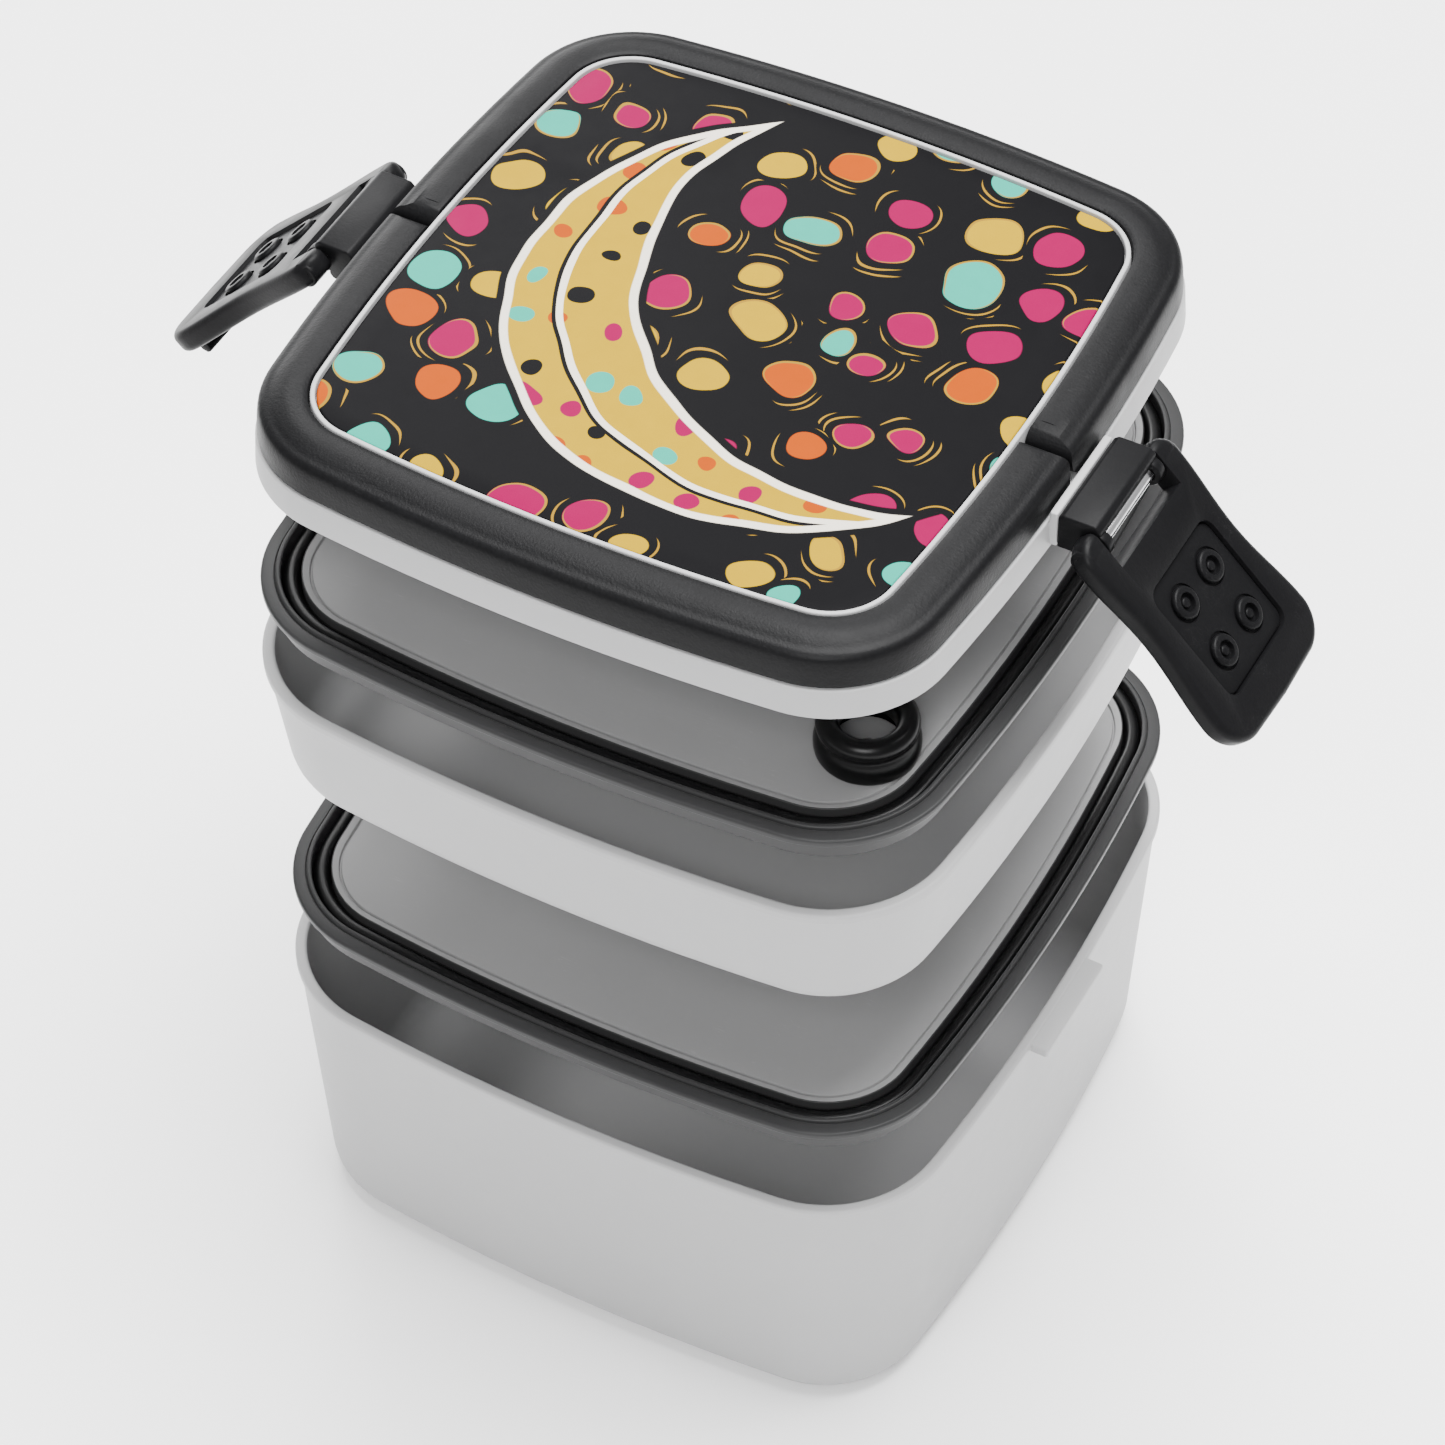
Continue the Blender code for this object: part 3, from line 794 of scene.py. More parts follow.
def dot_group() -> bpy.types.NodeTree:
    """Scattered uneven dots, each with a seed for its colour, a loose contour and brush arcs."""
    sheet = new_group(
        "printed_dots",
        {"Cells": 70.0, "Smallest": 0.20, "Largest": 0.40, "Shift": 0.0},
        {"Dot": "Float", "Seed": "Float", "Contour": "Float", "Arcs": "Float"},
    )
    given = sheet.add("NodeGroupInput").outputs
    place = sheet.place()
    wobble = sheet.add("ShaderNodeTexNoise", noise_dimensions="2D")
    sheet.feed(wobble, "Vector", place)
    sheet.feed(wobble, "Scale", DOT_WOBBLE_SCALE)
    sheet.feed(wobble, "Detail", 0.5)
    moved = sheet.add("ShaderNodeVectorMath", operation="MULTIPLY_ADD")
    sheet.feed(moved, 0, wobble.outputs["Color"])
    sheet.feed(moved, 1, (DOT_WOBBLE, DOT_WOBBLE, 0.0))
    sheet.feed(moved, 2, place)
    shift = sheet.add("ShaderNodeCombineXYZ")
    sheet.feed(shift, "X", given["Shift"])
    sheet.feed(shift, "Y", given["Shift"])
    where = sheet.add("ShaderNodeVectorMath", operation="ADD")
    sheet.feed(where, 0, moved.outputs[0])
    sheet.feed(where, 1, shift.outputs[0])
    cells = {}
    for feature in ("F1", "N_SPHERE_RADIUS"):
        node = sheet.add("ShaderNodeTexVoronoi", voronoi_dimensions="2D", feature=feature)
        sheet.feed(node, "Vector", where.outputs[0])
        sheet.feed(node, "Scale", given["Cells"])
        sheet.feed(node, "Randomness", DOT_RANDOMNESS)
        cells[feature] = node
    pick = sheet.add("ShaderNodeSeparateColor")
    sheet.feed(pick, 0, cells["F1"].outputs["Color"])
    size, seed, mark = pick.outputs
    span = sheet.maths("SUBTRACT", given["Largest"], given["Smallest"])
    wanted = sheet.maths("MULTIPLY_ADD", size, span, given["Smallest"])
    most = sheet.maths("MULTIPLY", cells["N_SPHERE_RADIUS"].outputs["Radius"], DOT_ROOM)
    radius = sheet.maths("MINIMUM", wanted, most)
    gap = sheet.maths("SUBTRACT", cells["F1"].outputs["Distance"], radius)
    dot = sheet.maths("SUBTRACT", 1.0, sheet.step(gap, -DOT_EDGE, DOT_EDGE))
    spoke = sheet.add("ShaderNodeVectorMath", operation="SUBTRACT")
    sheet.feed(spoke, 0, where.outputs[0])
    sheet.feed(spoke, 1, cells["F1"].outputs["Position"])
    parts = sheet.add("ShaderNodeSeparateXYZ")
    sheet.feed(parts, 0, spoke.outputs[0])
    angle = sheet.maths("ARCTAN2", parts.outputs["Y"], parts.outputs["X"])
    turned = sheet.maths("MULTIPLY_ADD", mark, -2 * math.pi, angle)
    ringed = sheet.maths("GREATER_THAN", mark, RINGED_FROM)
    contour = sheet.maths("MULTIPLY", CONTOUR.mask(sheet, gap, turned), ringed)
    near = NEAR_ARC.mask(sheet, gap, turned)
    far = sheet.maths("MULTIPLY", FAR_ARC.mask(sheet, gap, turned), ringed)
    small = sheet.maths("LESS_THAN", size, SMALL_UNTIL)
    back = sheet.maths("MULTIPLY", BACK_ARC.mask(sheet, gap, turned), small)
    arcs = sheet.maths("MAXIMUM", near, sheet.maths("MAXIMUM", far, back))
    out = sheet.add("NodeGroupOutput")
    sheet.feed(out, "Dot", dot)
    sheet.feed(out, "Seed", seed)
    sheet.feed(out, "Contour", contour)
    sheet.feed(out, "Arcs", arcs)
    return sheet.tree


def group_node(sheet: Sheet, name: str, **values: object) -> bpy.types.Node:
    """Places a shader group in a material.

    Args:
        sheet: the material's sheet.
        name: name of the group, built the first time.
        values: its inputs, with _ for a space.

    Returns:
        The group's node.
    """
    makers = {
        "moulded_surface": surface_group,
        "hairline_scuffs": scuff_group,
        "printed_dots": dot_group,
    }
    tree = bpy.data.node_groups.get(name) or makers[name]()
    node = sheet.add("ShaderNodeGroup", node_tree=tree)
    for label, value in values.items():
        sheet.feed(node, label.replace("_", " "), value)
    return node


# ---------------------------------------------------------------- finishes


@dataclass(frozen=True)
class Finish:
    """A finish: its material's name and the record's slot that it belongs to."""

    name: str
    slot: Slot

    def material(self) -> bpy.types.Material:
        """Builds the material, or returns it if it is there already.

        Returns:
            The finish's material.
        """
        found = bpy.data.materials.get(self.name)
        if found:
            return found
        made = bpy.data.materials.new(self.name)
        made.use_nodes = True
        self.paint(Sheet(made.node_tree), made.node_tree.nodes["Principled BSDF"])
        return made

    def paint(self, sheet: Sheet, shader: bpy.types.Node) -> None:
        """Feeds the shader from its nodes. Each kind of finish has its own way."""
        raise NotImplementedError

    def emboss(
        self, sheet: Sheet, shader: bpy.types.Node, height: object, strength: float, depth: float
    ) -> None:
        """Raises the surface by a height pattern.

        Args:
            sheet: the material's sheet.
            shader: the shader whose normal is bent.
            height: the pattern.
            strength: how strongly it shows, from 0 to 1.
            depth: how deep it is, in millimetres.
        """
        bump = sheet.add("ShaderNodeBump")
        sheet.feed(bump, "Strength", strength)
        sheet.feed(bump, "Distance", depth * MM)
        sheet.feed(bump, "Height", height)
        sheet.feed(shader, "Normal", bump.outputs[0])


@dataclass(frozen=True)
class Moulding(Finish):
    """A moulded plastic or silicone finish."""

    colour: Colour
    roughness: float
    tint: float = 0.06
    cloud: float = 55.0
    speckle: float = 0.25
    swing: float = 0.10
    grain: float = 2600.0
    grain_depth: float = 0.02
    bump: float = 0.25
    smudge: float = 0.06
    scuffs: float = 0.0
    specular: float = 0.5

    def paint(self, sheet: Sheet, shader: bpy.types.Node) -> None:
        """Cloudy moulded colour with grain, smudges and, where they are asked for, pale scuffs."""
        surface = group_node(
            sheet,
            "moulded_surface",
            Colour=self.colour,
            Tint=self.tint,
            Cloud_Scale=self.cloud,
            Speckle=self.speckle,
            Roughness=self.roughness,
            Roughness_Swing=self.swing,
            Grain_Scale=self.grain,
            Smudge=self.smudge,
        )
        colour, rough = surface.outputs["Colour"], surface.outputs["Roughness"]
        if self.scuffs > 0:
            scuffs = group_node(sheet, "hairline_scuffs", Amount=self.scuffs)
            paler = (*(min(1.0, SCUFF_GAIN * c + SCUFF_LIFT) for c in self.colour[:3]), 1.0)
            colour = sheet.blend(scuffs.outputs[0], colour, paler)
            rough = sheet.maths("MULTIPLY_ADD", scuffs.outputs[0], SCUFF_DULLING, rough)
        sheet.feed(shader, "Base Color", colour)
        sheet.feed(shader, "Roughness", rough)
        self.emboss(sheet, shader, surface.outputs["Height"], self.bump, self.grain_depth)
        shader.inputs["Specular IOR Level"].default_value = self.specular


@dataclass(frozen=True)
class TurnedSteel(Finish):
    """Polished steel with faint turning rings and a few hairlines."""

    name: str = "turned_steel"
    slot: Slot = Slot.STEEL
    colour: Colour = (0.74, 0.74, 0.76, 1.0)
    roughness: float = 0.16
    ring_stretch: Corner = (60.0, 3200.0, 60.0)
    ring_depth: float = 0.01

    def paint(self, sheet: Sheet, shader: bpy.types.Node) -> None:
        """Bright metal with turning rings and hairlines."""
        shader.inputs["Metallic"].default_value = 1.0
        mapping = sheet.add("ShaderNodeMapping")
        sheet.feed(mapping, "Vector", sheet.place())
        mapping.inputs["Scale"].default_value = self.ring_stretch
        rings = sheet.noise(1.0, 3.0, mapping.outputs[0])
        scuffs = group_node(sheet, "hairline_scuffs", Amount=0.8, Stretch=5.0)
        surface = group_node(
            sheet,
            "moulded_surface",
            Colour=self.colour,
            Tint=0.10,
            Roughness=self.roughness,
            Roughness_Swing=0.08,
            Smudge=0.05,
        )
        rough = sheet.maths("MULTIPLY_ADD", rings, 0.10, surface.outputs["Roughness"])
        rough = sheet.maths("MULTIPLY_ADD", scuffs.outputs[0], 0.2, rough)
        sheet.feed(shader, "Base Color", surface.outputs["Colour"])
        sheet.feed(shader, "Roughness", rough)
        self.emboss(sheet, shader, rings, 0.15, self.ring_depth)


@dataclass(frozen=True)
class PrintedPanel(Finish):
    """Charcoal panel with a generic print: uneven dots, broken arcs and one broad crescent."""

    name: str = "dotted_print"
    slot: Slot = Slot.PRINT
    ground: Colour = (0.0044, 0.0043, 0.0048, 1.0)
    yellow: Colour = (0.29, 0.180, 0.0001, 1.0)
    magenta: Colour = (0.17, 0.0003, 0.039, 1.0)
    teal: Colour = (0.010, 0.24, 0.175, 1.0)
    orange: Colour = (0.26, 0.040, 0.0003, 1.0)
    ochre: Colour = (0.20, 0.113, 0.010, 1.0)
    cream: Colour = (0.58, 0.54, 0.46, 1.0)
    outer_arc: Corner = (12.5, 7.7, 56.2)
    inner_arc: Corner = (36.3, 27.7, 63.1)
    waver_scale: float = 45.0
    waver: float = 0.004
    ink_edge: float = 0.0003
    halo_width: float = 0.0030
    cream_width: float = 0.0014
    cream_line: Point2 = (0.0030, 0.0013)
    dark_line: Point2 = (0.0052, 0.0007)
    dot_cells: float = 66.0
    spot_cells: float = 92.0
    roughness: float = 0.32
    lacquer_depth: float = 0.01
    specular: float = 0.015

    def palette(self, sheet: Sheet, seed: object, inks: Sequence[Colour]) -> bpy.types.NodeSocket:
        """Picks one ink for each seed.

        Args:
            sheet: the material's sheet.
            seed: a value from 0 to 1 for each dot.
            inks: the inks to pick from.

        Returns:
            The dot's ink.
        """
        ramp = sheet.add("ShaderNodeValToRGB")
        ramp.color_ramp.interpolation = "CONSTANT"
        stops = ramp.color_ramp.elements
        while len(stops) < len(inks):
            stops.new(0.5)
        for index, ink in enumerate(inks):
            stops[index].position = index / len(inks)
            stops[index].color = ink
        sheet.feed(ramp, 0, seed)
        return ramp.outputs[0]

    def distance(self, sheet: Sheet, place: object, circle: Corner) -> bpy.types.NodeSocket:
        """Distance outside a circle, with a hand-drawn waver.

        Args:
            sheet: the material's sheet.
            place: the coordinates.
            circle: (x, y, radius) of the circle, in millimetres.

        Returns:
            The distance, in metres.
        """
        x, y, radius = circle
        node = sheet.add("ShaderNodeVectorMath", operation="DISTANCE")
        sheet.feed(node, 0, place)
        sheet.feed(node, 1, (x * MM, y * MM, 0.0))
        waver = sheet.maths("SUBTRACT", sheet.noise(self.waver_scale, 1.0, place), 0.5)
        away = sheet.maths("SUBTRACT", node.outputs["Value"], radius * MM)
        return sheet.maths("MULTIPLY_ADD", waver, self.waver, away)

    def within(self, sheet: Sheet, distance: object, width: float) -> bpy.types.NodeSocket:
        """Mask of what lies nearer than width, in metres, with a soft ink edge."""
        return sheet.maths("SUBTRACT", 1.0, sheet.step(distance, width, width + self.ink_edge))

    def paint(self, sheet: Sheet, shader: bpy.types.Node) -> None:
        """Prints dots, arcs and the crescent in flat inks under a satin lacquer."""
        flat = sheet.add("ShaderNodeVectorMath", operation="MULTIPLY")
        sheet.feed(flat, 0, sheet.place())
        sheet.feed(flat, 1, (1.0, 1.0, 0.0))
        place = flat.outputs[0]
        dots = group_node(sheet, "printed_dots", Cells=self.dot_cells)
        inks = (self.magenta, self.yellow, self.teal) * 2 + (self.orange,)
        picked = self.palette(sheet, dots.outputs["Seed"], inks)
        colour = sheet.blend(dots.outputs["Arcs"], self.ground, self.ochre)
        colour = sheet.blend(dots.outputs["Dot"], colour, picked)
        colour = sheet.blend(dots.outputs["Contour"], colour, self.ochre)
        outer = self.distance(sheet, place, self.outer_arc)
        inner = self.distance(sheet, place, self.inner_arc)
        outside = sheet.maths("MAXIMUM", outer, sheet.maths("MULTIPLY", inner, -1.0))
        halo = self.within(sheet, outside, self.halo_width)
        edge = self.within(sheet, outside, self.cream_width)
        body = self.within(sheet, outside, -self.ink_edge)
        colour = sheet.blend(halo, colour, self.ground)
        colour = sheet.blend(edge, colour, self.cream)
        sizes = {"Smallest": 0.16, "Largest": 0.27, "Shift": 0.31}
        small = group_node(sheet, "printed_dots", Cells=self.spot_cells, **sizes)
        spots = (self.magenta, self.ground, self.teal, self.orange, self.magenta)
        fill = sheet.blend(
            small.outputs["Dot"], self.yellow, self.palette(sheet, small.outputs["Seed"], spots)
        )
        middle = sheet.maths("ADD", outer, inner)
        for (offset, width), ink in ((self.cream_line, self.cream), (self.dark_line, self.ground)):
            away = sheet.maths("ABSOLUTE", sheet.maths("SUBTRACT", middle, offset))
            fill = sheet.blend(self.within(sheet, away, width), fill, ink)
        colour = sheet.blend(body, colour, fill)
        scuffs = group_node(sheet, "hairline_scuffs", Amount=0.35)
        surface = group_node(
            sheet,
            "moulded_surface",
            Colour=colour,
            Tint=0.10,
            Cloud_Scale=300.0,
            Roughness=self.roughness,
            Roughness_Swing=0.08,
            Grain_Scale=1800.0,
            Smudge=0.08,
        )
        rough = sheet.maths("MULTIPLY_ADD", scuffs.outputs[0], 0.12, surface.outputs["Roughness"])
        sheet.feed(shader, "Base Color", surface.outputs["Colour"])
        sheet.feed(shader, "Roughness", rough)
        self.emboss(sheet, shader, surface.outputs["Height"], 0.12, self.lacquer_depth)
        shader.inputs["Specular IOR Level"].default_value = self.specular


@dataclass(frozen=True)
class Finishes:
    """The finishes of the whole box."""

    white: Moulding = Moulding(
        "white_polypropylene",
        Slot.WHITE,
        (0.325, 0.325, 0.328, 1.0),
        0.45,
        tint=0.03,
        specular=0.35,
    )
    smoke: Moulding = Moulding(
        "smoke_polypropylene",
        Slot.SMOKE,
        (0.205, 0.205, 0.206, 1.0),
        0.42,
        tint=0.05,
        scuffs=0.15,
        specular=0.14,
    )
    # The lid's own smoke plastic painted much darker for the flange, as painted shade: the flange
    # takes more light than the shaded lid floors.
    smoke_rim_painted_shade: Moulding = Moulding(
        "smoke_rim_painted_shade",
        Slot.SMOKE,
        (0.026, 0.026, 0.0265, 1.0),
        0.36,
        tint=0.05,
        swing=0.04,
        smudge=0.02,
        specular=0.12,
    )
    silicone: Moulding = Moulding(
        "black_silicone",
        Slot.SILICONE,
        (0.0022, 0.0022, 0.0024, 1.0),
        0.30,
        tint=0.2,
        specular=0.16,
    )
    soft: Moulding = Moulding(
        "soft_touch_black",
        Slot.SOFT,
        (0.0040, 0.0040, 0.0044, 1.0),
        0.43,
        tint=0.5,
        speckle=1.6,
        specular=0.08,
        grain=2300.0,
        grain_depth=0.07,
        bump=0.7,
        scuffs=0.2,
    )
    black: Moulding = Moulding(
        "textured_black",
        Slot.BLACK,
        (0.0045, 0.0045, 0.0049, 1.0),
        0.37,
        tint=0.3,
        speckle=1.0,
        specular=0.06,
        grain=2100.0,
        grain_depth=0.05,
        bump=0.5,
        scuffs=0.3,
    )
    steel: TurnedSteel = TurnedSteel()
    panel: PrintedPanel = PrintedPanel()


FINISHES = Finishes()


def dress(
    obj: bpy.types.Object,
    finish: Finish,
    body: str,
    node: Optional[str],
    angle: float = SMOOTH_ANGLE,
) -> None:
    """Shades a finished piece and ties it to the frame.

    Args:
        obj: the piece.
        finish: its finish.
        body: the CAD body that it rides on.
        node: the CAD node that it stands for.
        angle: edges sharper than this stay sharp.
    """
    smooth(obj, angle)
    if not obj.data.materials:
        obj.data.materials.append(finish.material())
    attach(obj, body)
    if node:
        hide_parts(node)
    LOG.info("%s: %d faces, rides on %s", obj.name, len(obj.data.polygons), body)


# ---------------------------------------------------------------- sub-assemblies


@dataclass
class Tub:
    """A tapered container with a rounded bottom and a rim band."""

    name: str
    node: str
    body: str
    depth: float
    rim: float = 2.2
    catch_half_length: float = 0.0

    def section(self) -> list[Point2]:
        """Section from the underside, over the rim, to the inside floor."""
        top = self.depth + self.rim
        return filleted(
            [
                (55.0, 0.35, 0.0),
                (57.5, 0.0, 1.0),
                (73.7, 0.0, 8.0),
                (77.3, self.depth, 0.25),
                (78.0, self.depth + 0.15, 0.3),
                (78.0, top, 0.7),
                (75.5, top, 0.7),
                (72.0, 2.0, 6.5),
                (55.0, 2.0, 0.0),
            ],
            closed=False,
            steps=7,
        )

    def catch(self, turn: float) -> bpy.types.Object:
        """Models a catch ledge with softened edges.

        Args:
            turn: the turn about Z that brings it to its side.

        Returns:
            The ledge.
        """
        top, half = self.depth + self.rim - 0.15, self.catch_half_length
        corners = [(76.5, top - 2.55), (81.6, top - 2.55), (81.6, top - 0.1), (76.5, top)]
        ledge = plate(f"{self.name}_catch", corners, -half, half, upright)
        rounded(ledge, 0.7, 4)
        ledge.data.transform(Matrix.Rotation(turn, 4, "Z"))
        return ledge

    def build(self) -> None:
        """Models the container and dresses it."""
        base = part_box(self.node)[0].z
        tub = swept(self.name, self.section(), base, closed=False)
        if self.catch_half_length > 0:
            for side in Side:
                combine(tub, "UNION", self.catch(side.value))
        dress(tub, FINISHES.white, self.body, self.node)


@dataclass
class TierLid:
    """Smoke grey lid with a plug wall, a rim flange painted darker as painted shade, and a
    silicone ring in an open channel.
    """

    name: str
    node: str
    gasket_node: str
    body: str
    floor_top: float = 1.5
    underside: float = 5.2
    # Half-width beyond which the lid's faces take the darker smoke copy, as painted shade.
    shaded_rim_from: float = 68.0
    spigot_radius: float = 6.9
    spigot_height: float = 1.6
    vent_bore: float = 1.2
    vented: bool = False
    vent_at: Point2 = (0.0, 0.0)

    def section(self) -> list[Point2]:
        """Section from the floor's underside round the plug and flange to the floor's top."""
        return filleted(
            [
                (60.0, -0.6, 0.0),
                (66.8, -0.6, 0.5),
                (66.8, -5.2, 0.7),
                (74.6, -5.2, 0.8),
                (75.0, 0.0, 0.3),
                (76.8, 0.0, 0.5),
                (76.8, 1.8, 0.6),
                (74.1, 1.9, 0.25),
                (73.95, 1.45, 0.1),
                (73.8, 2.4, 0.4),
                (72.8, 2.4, 0.35),
                (72.8, -3.4, 0.3),
                (68.8, -3.4, 0.3),
                (68.8, 2.0, 0.25),
                (67.2, 1.6, 0.2),
                (67.05, 0.9, 0.1),
                (66.7, 0.9, 0.1),
                (66.55, 1.5, 0.15),
                (60.0, 1.5, 0.0),
            ],
            closed=False,
            steps=5,
        )

    def gasket_section(self) -> list[Point2]:
        """Round-topped section of the silicone ring."""
        corners = [(69.1, -3.1, 0.4), (72.5, -3.1, 0.4), (72.5, 1.0, 1.4), (69.1, 1.0, 1.4)]
        return filleted(corners, closed=True, steps=6)

    def add_vent(self, lid: bpy.types.Object, base: float) -> None:
        """Raises the vent spigot and drills its hole.

        Args:
            lid: the lid that gets them.
            base: height of the section's zero, in metres.
        """
        x, y = self.vent_at
        z = base / MM + self.floor_top
        top = (x, y, z + self.spigot_height)
        combine(lid, "UNION", rod("spigot", self.spigot_radius, (x, y, z - 1.0), top, 0.4))
        hole = rod("vent_hole", self.vent_bore, (x, y, z - 4.0), (x, y, z + 4.0))
        combine(lid, "DIFFERENCE", hole)

    def build(self) -> None:
        """Models the lid and its gasket and dresses them."""
        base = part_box(self.node)[0].z + self.underside * MM
        lid = swept(self.name, self.section(), base, closed=False)
        if self.vented:
            self.add_vent(lid, base)
        lid.data.materials.append(FINISHES.smoke.material())
        lid.data.materials.append(FINISHES.smoke_rim_painted_shade.material())
        # Faces outside the rim line get the darker copy of the smoke plastic: painted shade on the
        # flange, which is the same plastic as the floor.
        for face in lid.data.polygons:
            x, y, _ = face.center / MM
            face.material_index = int(PLAN.outside(x, y, self.shaded_rim_from))
        dress(lid, FINISHES.smoke, self.body, self.node)
        ring = swept(f"{self.name}_seal", self.gasket_section(), base, closed=True)
        dress(ring, FINISHES.silicone, self.body, self.gasket_node)


@dataclass
class Vent:
    """Silicone sleeve with a rolled lip, round the inner lid's spigot."""

    name: str = "vent_sleeve"
    node: str = "vent_plug"
    body: str = "vent"
    seat_bore: float = 7.3
    lip_radius: float = 7.8
    lip_height: float = 7.3
    lip_tube: float = 2.2
    lip_sweep: float = 215.0
    lip_steps: int = 20
    steps: int = 72

    def section(self) -> list[Point2]:
        """Section of the sleeve: stepped bore, thick rolled lip, drawn-in neck and round body."""
        bore = self.lip_radius - self.lip_tube
        seat = self.seat_bore
        points: list[Point2] = [(seat, 0.0), (seat, 3.2), (bore + 0.6, 3.6), (bore, 4.2)]
        for i in range(self.lip_steps + 1):
            turn = math.radians(180.0 - self.lip_sweep * i / self.lip_steps)
            across = self.lip_radius + self.lip_tube * math.cos(turn)
            points.append((across, self.lip_height + self.lip_tube * math.sin(turn)))
        body = [(9.6, 5.7), (9.65, 5.2), (10.0, 4.4), (10.3, 3.2), (10.35, 1.8), (10.2, 0.6)]
        return points + flowing([*body, (9.9, 0.0)], 3)

    def build(self) -> None:
        """Models the sleeve and dresses it."""
        low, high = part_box(self.node)
        centre = Vector(((low.x + high.x) / 2, (low.y + high.y) / 2, low.z))
        sleeve = spun(self.name, self.section(), centre, self.steps)
        dress(sleeve, FINISHES.silicone, self.body, self.node, VENT_SMOOTH_ANGLE)


@dataclass
class OuterLid:
    """White outer lid with its printed panel and the soft black ring, half of it a handle."""

    body: str = "outer_lid"
    handle_body: str = "handle"
    pivot_y: float = 3.0
    pivot_z: float = 12.0
    end_radius: float = 4.1
    bail_radius: float = 3.6
    pin_radius: float = 1.15
    bore_radius: float = 1.4
    pocket_reach: float = 4.4
    pocket_drop: float = 4.2
    housing_reach: float = 6.0
    trim_gap: float = 1.0
    trim_round: float = 3.4
    ring_top: float = 16.2
    panel_half: float = 62.6
    panel_top: float = 15.4
    bracket_half_length: float = 11.8
    base: float = field(default=0.0, init=False)

    def shell_section(self) -> list[Point2]:
        """Section of the shell: panel seat, raised rim, deck and skirt."""
        return filleted(
            [
                (58.0, 11.8, 0.0),
                (61.0, 11.8, 0.3),
                (61.4, 9.9, 0.4),
                (69.2, 9.9, 1.0),
                (69.6, 5.5, 0.8),
                (72.9, 5.2, 0.8),
                (73.3, 0.0, 0.5),
                (75.3, 0.0, 0.6),
                (74.8, 7.0, 0.4),
                (71.5, 7.0, 0.3),
                (71.0, 11.5, 0.4),
                (64.2, 11.5, 0.3),
                (63.8, 15.85, 0.35),
                (62.85, 15.85, 0.3),
                (62.85, 13.6, 0.15),
                (58.0, 13.6, 0.0),
            ],
            closed=False,
            steps=5,
        )

    def ring_section(self) -> list[Point2]:
        """Section of the soft ring: crowned top, shallow cove, round shoulder and lip."""
        under = filleted([(72.1, 7.4, 0.0), (71.6, 11.8, 0.4), (64.4, 11.8, 0.0)], closed=False)
        crown = flowing(
            [
                (64.2, 12.2),
                (64.2, 15.3),
                (64.7, 15.95),
                (66.2, 16.2),
                (68.4, 16.15),
                (70.2, 15.65),
                (71.6, 15.05),
                (72.8, 14.65),
                (73.7, 13.75),
                (74.1, 12.0),
                (74.3, 9.5),
                (74.35, 7.7),
                (74.0, 7.4),
            ]
        )
        return under + crown

    def spot(self, x: float, y: float, z: float) -> tuple[float, float, float]:
        """(x, y, z) in millimetres with z counted from the skirt's bottom."""
        return (x, y, z + self.base / MM)

    def pivot_rod(
        self, name: str, radius: float, low: float, high: float, edge: float = 0.0
    ) -> bpy.types.Object:
        """A rod on the handle's axis.

        Args:
            name: name of the rod.
            radius: its radius, in millimetres.
            low: where it starts across, in millimetres.
            high: where it ends across.
            edge: width of the round at each end.

        Returns:
            The rod.
        """
        start = self.spot(low, self.pivot_y, self.pivot_z)
        end = self.spot(high, self.pivot_y, self.pivot_z)
        return rod(name, radius, start, end, edge)

    def pivot_block(
        self, name: str, across: Point2, reach: float, low: float, high: float
    ) -> bpy.types.Object:
        """A block round the handle's axis.

        Args:
            name: name of the block.
            across: its two ends across, in millimetres, in either order.
            reach: its half-length along the lid.
            low: height of its bottom.
            high: height of its top.

        Returns:
            The block.
        """
        start, end = sorted(across)
        y = self.pivot_y
        return block(name, self.spot(start, y - reach, low), self.spot(end, y + reach, high))

    def build_shell(self) -> None:
        """Models the white shell with its hinge brackets and the handle's pivot pockets."""
        shell = swept("outer_shell", self.shell_section(), self.base, closed=False)
        corners = [(73.9, 1.0), (76.4, 1.0), (76.4, 9.3), (74.75, 9.3), (74.75, 6.6), (73.9, 6.6)]
        lift = Matrix.Translation((0, 0, self.base))
        half = self.bracket_half_length
        for side in Side:
            bracket = plate("bracket", corners, -half, half, upright)
            rounded(bracket, 0.35, 3)
            bracket.data.transform(Matrix.Rotation(side.value, 4, "Z") @ lift)
            combine(shell, "UNION", bracket)
        for sign in (1, -1):
            across = (sign * 62.8, sign * 70.4)
            housing = self.pivot_block("housing", across, self.housing_reach, 6.3, 11.2)
            combine(shell, "UNION", housing)
            across = (sign * 64.0, sign * 72.0)
            low = self.pivot_z - self.pocket_drop
            pocket = self.pivot_block("pocket", across, self.pocket_reach, low, 14)
            combine(shell, "DIFFERENCE", pocket)
            across = sorted((sign * 61.5, sign * 72.8))
            combine(shell, "DIFFERENCE", self.pivot_rod("hole", self.bore_radius, *across))
        dress(shell, FINISHES.white, self.body, "lid_shell")

    def build_panel(self) -> None:
        """Models the printed panel with a softened edge."""
        half, top = self.panel_half, self.panel_top
        corners = [(58.0, 13.9, 0.0), (half, 13.9, 0.15), (half, top, 0.45), (58.0, top, 0.0)]
        section = filleted(corners, closed=False, steps=5)
        panel = swept("print_sheet", section, self.base, closed=False)
        dress(panel, FINISHES.panel, self.body, "print_panel")

